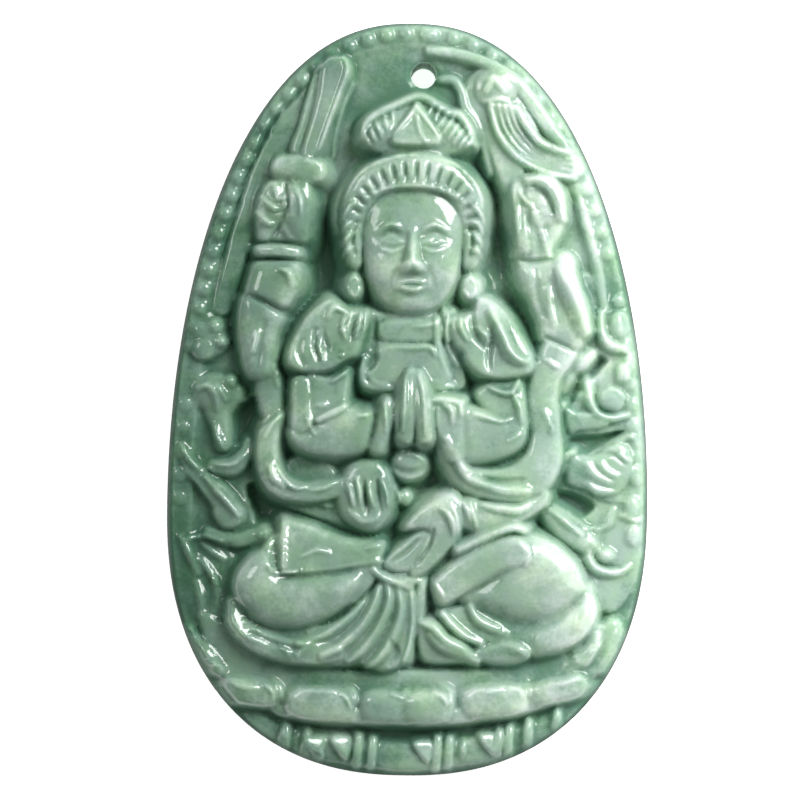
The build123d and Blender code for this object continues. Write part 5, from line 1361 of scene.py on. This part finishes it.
class PendantLook(bpy.types.PropertyGroup):
    def tone(label, use, value):
        return FloatVectorProperty(name=label, description=use, subtype="COLOR", size=3,
                                   min=0, max=1, default=value)

    # The deep tones carry painted shade in the hollows and the pale tones painted highlight on the
    # tops, over the stone's own greens; the right-hand tones are paler partly as painted light
    deep_left: tone("Deep, left", "Ground of the carving on the left", (0.044, 0.122, 0.074))
    body_left: tone("Body, left", "Middle tone of the stone on the left", (0.108, 0.204, 0.145))
    pale_left: tone("Pale, left", "Tops of the carving on the left", (0.24, 0.35, 0.28))
    deep_right: tone("Deep, right", "Ground of the carving on the right", (0.17, 0.335, 0.235))
    body_right: tone("Body, right", "Middle tone of the stone on the right", (0.43, 0.59, 0.48))
    pale_right: tone("Pale, right", "Tops of the carving on the right", (0.75, 0.86, 0.78))
    cool: tone("Cool patches", "Tint of the bluer patches", (0.98, 0.97, 1.0))
    warm: tone("Warm patches", "Tint of the yellower patches", (0.94, 1.0, 0.86))
    # Painted shade: the near-black line round the edge and the darker side and back
    rim: tone("Rim", "Dark line round the plate's edge", (0.02, 0.04, 0.03))


class PendantStudio(bpy.types.PropertyGroup):
    table: FloatVectorProperty(name="Table", description="Colour of the table", subtype="COLOR",
                               size=3, min=0, max=1, default=(0.93, 0.93, 0.93))
    distance: FloatProperty(name="Camera distance", description="From the table to the camera",
                            subtype="DISTANCE", unit="LENGTH", min=0.05, default=0.2)
    key: FloatProperty(name="Key lamp", description="Power of the soft lamp at the upper right",
                       subtype="POWER", unit="POWER", min=0, default=0.8)
    fill: FloatProperty(name="Fill lamp", description="Power of the small lamp at the upper left",
                        subtype="POWER", unit="POWER", min=0, default=0.11)


def soft_lamp(name, place, size, power):
    """A square lamp that faces the middle of the plate."""
    data = bpy.data.lights.new(name, "AREA")
    data.shape = "SQUARE"
    data.size = size
    data.energy = power
    lamp = bpy.data.objects.new(name, data)
    bpy.context.collection.objects.link(lamp)
    lamp.location = place
    lamp.rotation_euler = (-Vector(place)).to_track_quat("-Z", "Y").to_euler()


class PENDANT_OT_stone(bpy.types.Operator):
    """Carve the jade plate with its figure, lotus seat, border and cord hole"""
    bl_idname = "pendant.stone"
    bl_label = "Jade plate"

    def execute(self, context):
        plate = bpy.data.objects.new("jade_carving", plate_mesh())
        context.collection.objects.link(plate)
        drill(plate)
        plate.data.materials.append(jade_material(context.scene.pendant_look))
        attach(plate, "root")
        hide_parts("jade_pendant")
        return {"FINISHED"}


class PENDANT_OT_studio(bpy.types.Operator):
    """Set the pale table, the soft lamps and the camera straight over the plate"""
    bl_idname = "pendant.studio"
    bl_label = "Studio"

    def execute(self, context):
        studio = context.scene.pendant_studio
        mesh = bpy.data.meshes.new("table")
        corners = [(TABLE_REACH * x, TABLE_REACH * y, -TABLE_UNDER)
                   for x, y in ((-1, -1), (1, -1), (1, 1), (-1, 1))]
        mesh.from_pydata(corners, [], [(0, 1, 2, 3)])
        table = bpy.data.objects.new("table", mesh)
        context.collection.objects.link(table)
        mesh.materials.append(table_material(studio.table))
        soft_lamp("key lamp", KEY_PLACE, KEY_SIZE, studio.key)
        soft_lamp("fill lamp", FILL_PLACE, FILL_SIZE, studio.fill)
        world = bpy.data.worlds.new("studio")
        world.use_nodes = True
        sky = world.node_tree.nodes["Background"].inputs
        sky["Color"].default_value = (1, 1, 1, 1)
        sky["Strength"].default_value = SKY_STRENGTH
        context.scene.world = world
        context.scene.view_settings.view_transform = "Standard"
        # The picture is as wide as its squares at the level of the deepest ground
        data = bpy.data.cameras.new("camera")
        data.sensor_width = 36
        to_ground = studio.distance - FLOOR_THICKNESS * MM
        data.lens = data.sensor_width * to_ground / (PICTURE * SQUARE * MM)
        camera = bpy.data.objects.new("camera", data)
        context.collection.objects.link(camera)
        roll = Euler((0, 0, atan(LEAN)))
        away = Vector((-PLATE_ASIDE, -PLATE_UP, 0)) * SQUARE * MM
        away.rotate(roll)
        camera.location = away + Vector((0, 0, studio.distance))
        camera.rotation_euler = roll
        context.scene.camera = camera
        return {"FINISHED"}


class PENDANT_PT_sidebar(bpy.types.Panel):
    bl_idname = "PENDANT_PT_sidebar"
    bl_label = "Pendant"
    bl_space_type = "VIEW_3D"
    bl_region_type = "UI"
    bl_category = "Pendant"

    def draw(self, context):
        for operator in (PENDANT_OT_stone, PENDANT_OT_studio):
            self.layout.operator(operator.bl_idname)
        for group in (context.scene.pendant_look, context.scene.pendant_studio):
            for name in group.bl_rna.properties.keys():
                if name not in ("rna_type", "name"):
                    self.layout.prop(group, name)


CLASSES = (PendantLook, PendantStudio, PENDANT_OT_stone, PENDANT_OT_studio, PENDANT_PT_sidebar)


def register():
    for part in CLASSES:
        bpy.utils.register_class(part)
    bpy.types.Scene.pendant_look = PointerProperty(type=PendantLook)
    bpy.types.Scene.pendant_studio = PointerProperty(type=PendantStudio)


def unregister():
    del bpy.types.Scene.pendant_look
    del bpy.types.Scene.pendant_studio
    for part in reversed(CLASSES):
        bpy.utils.unregister_class(part)


def main():
    register()
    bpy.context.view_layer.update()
    bpy.ops.pendant.stone()
    bpy.ops.pendant.studio()


if __name__ == "__main__":
    main()
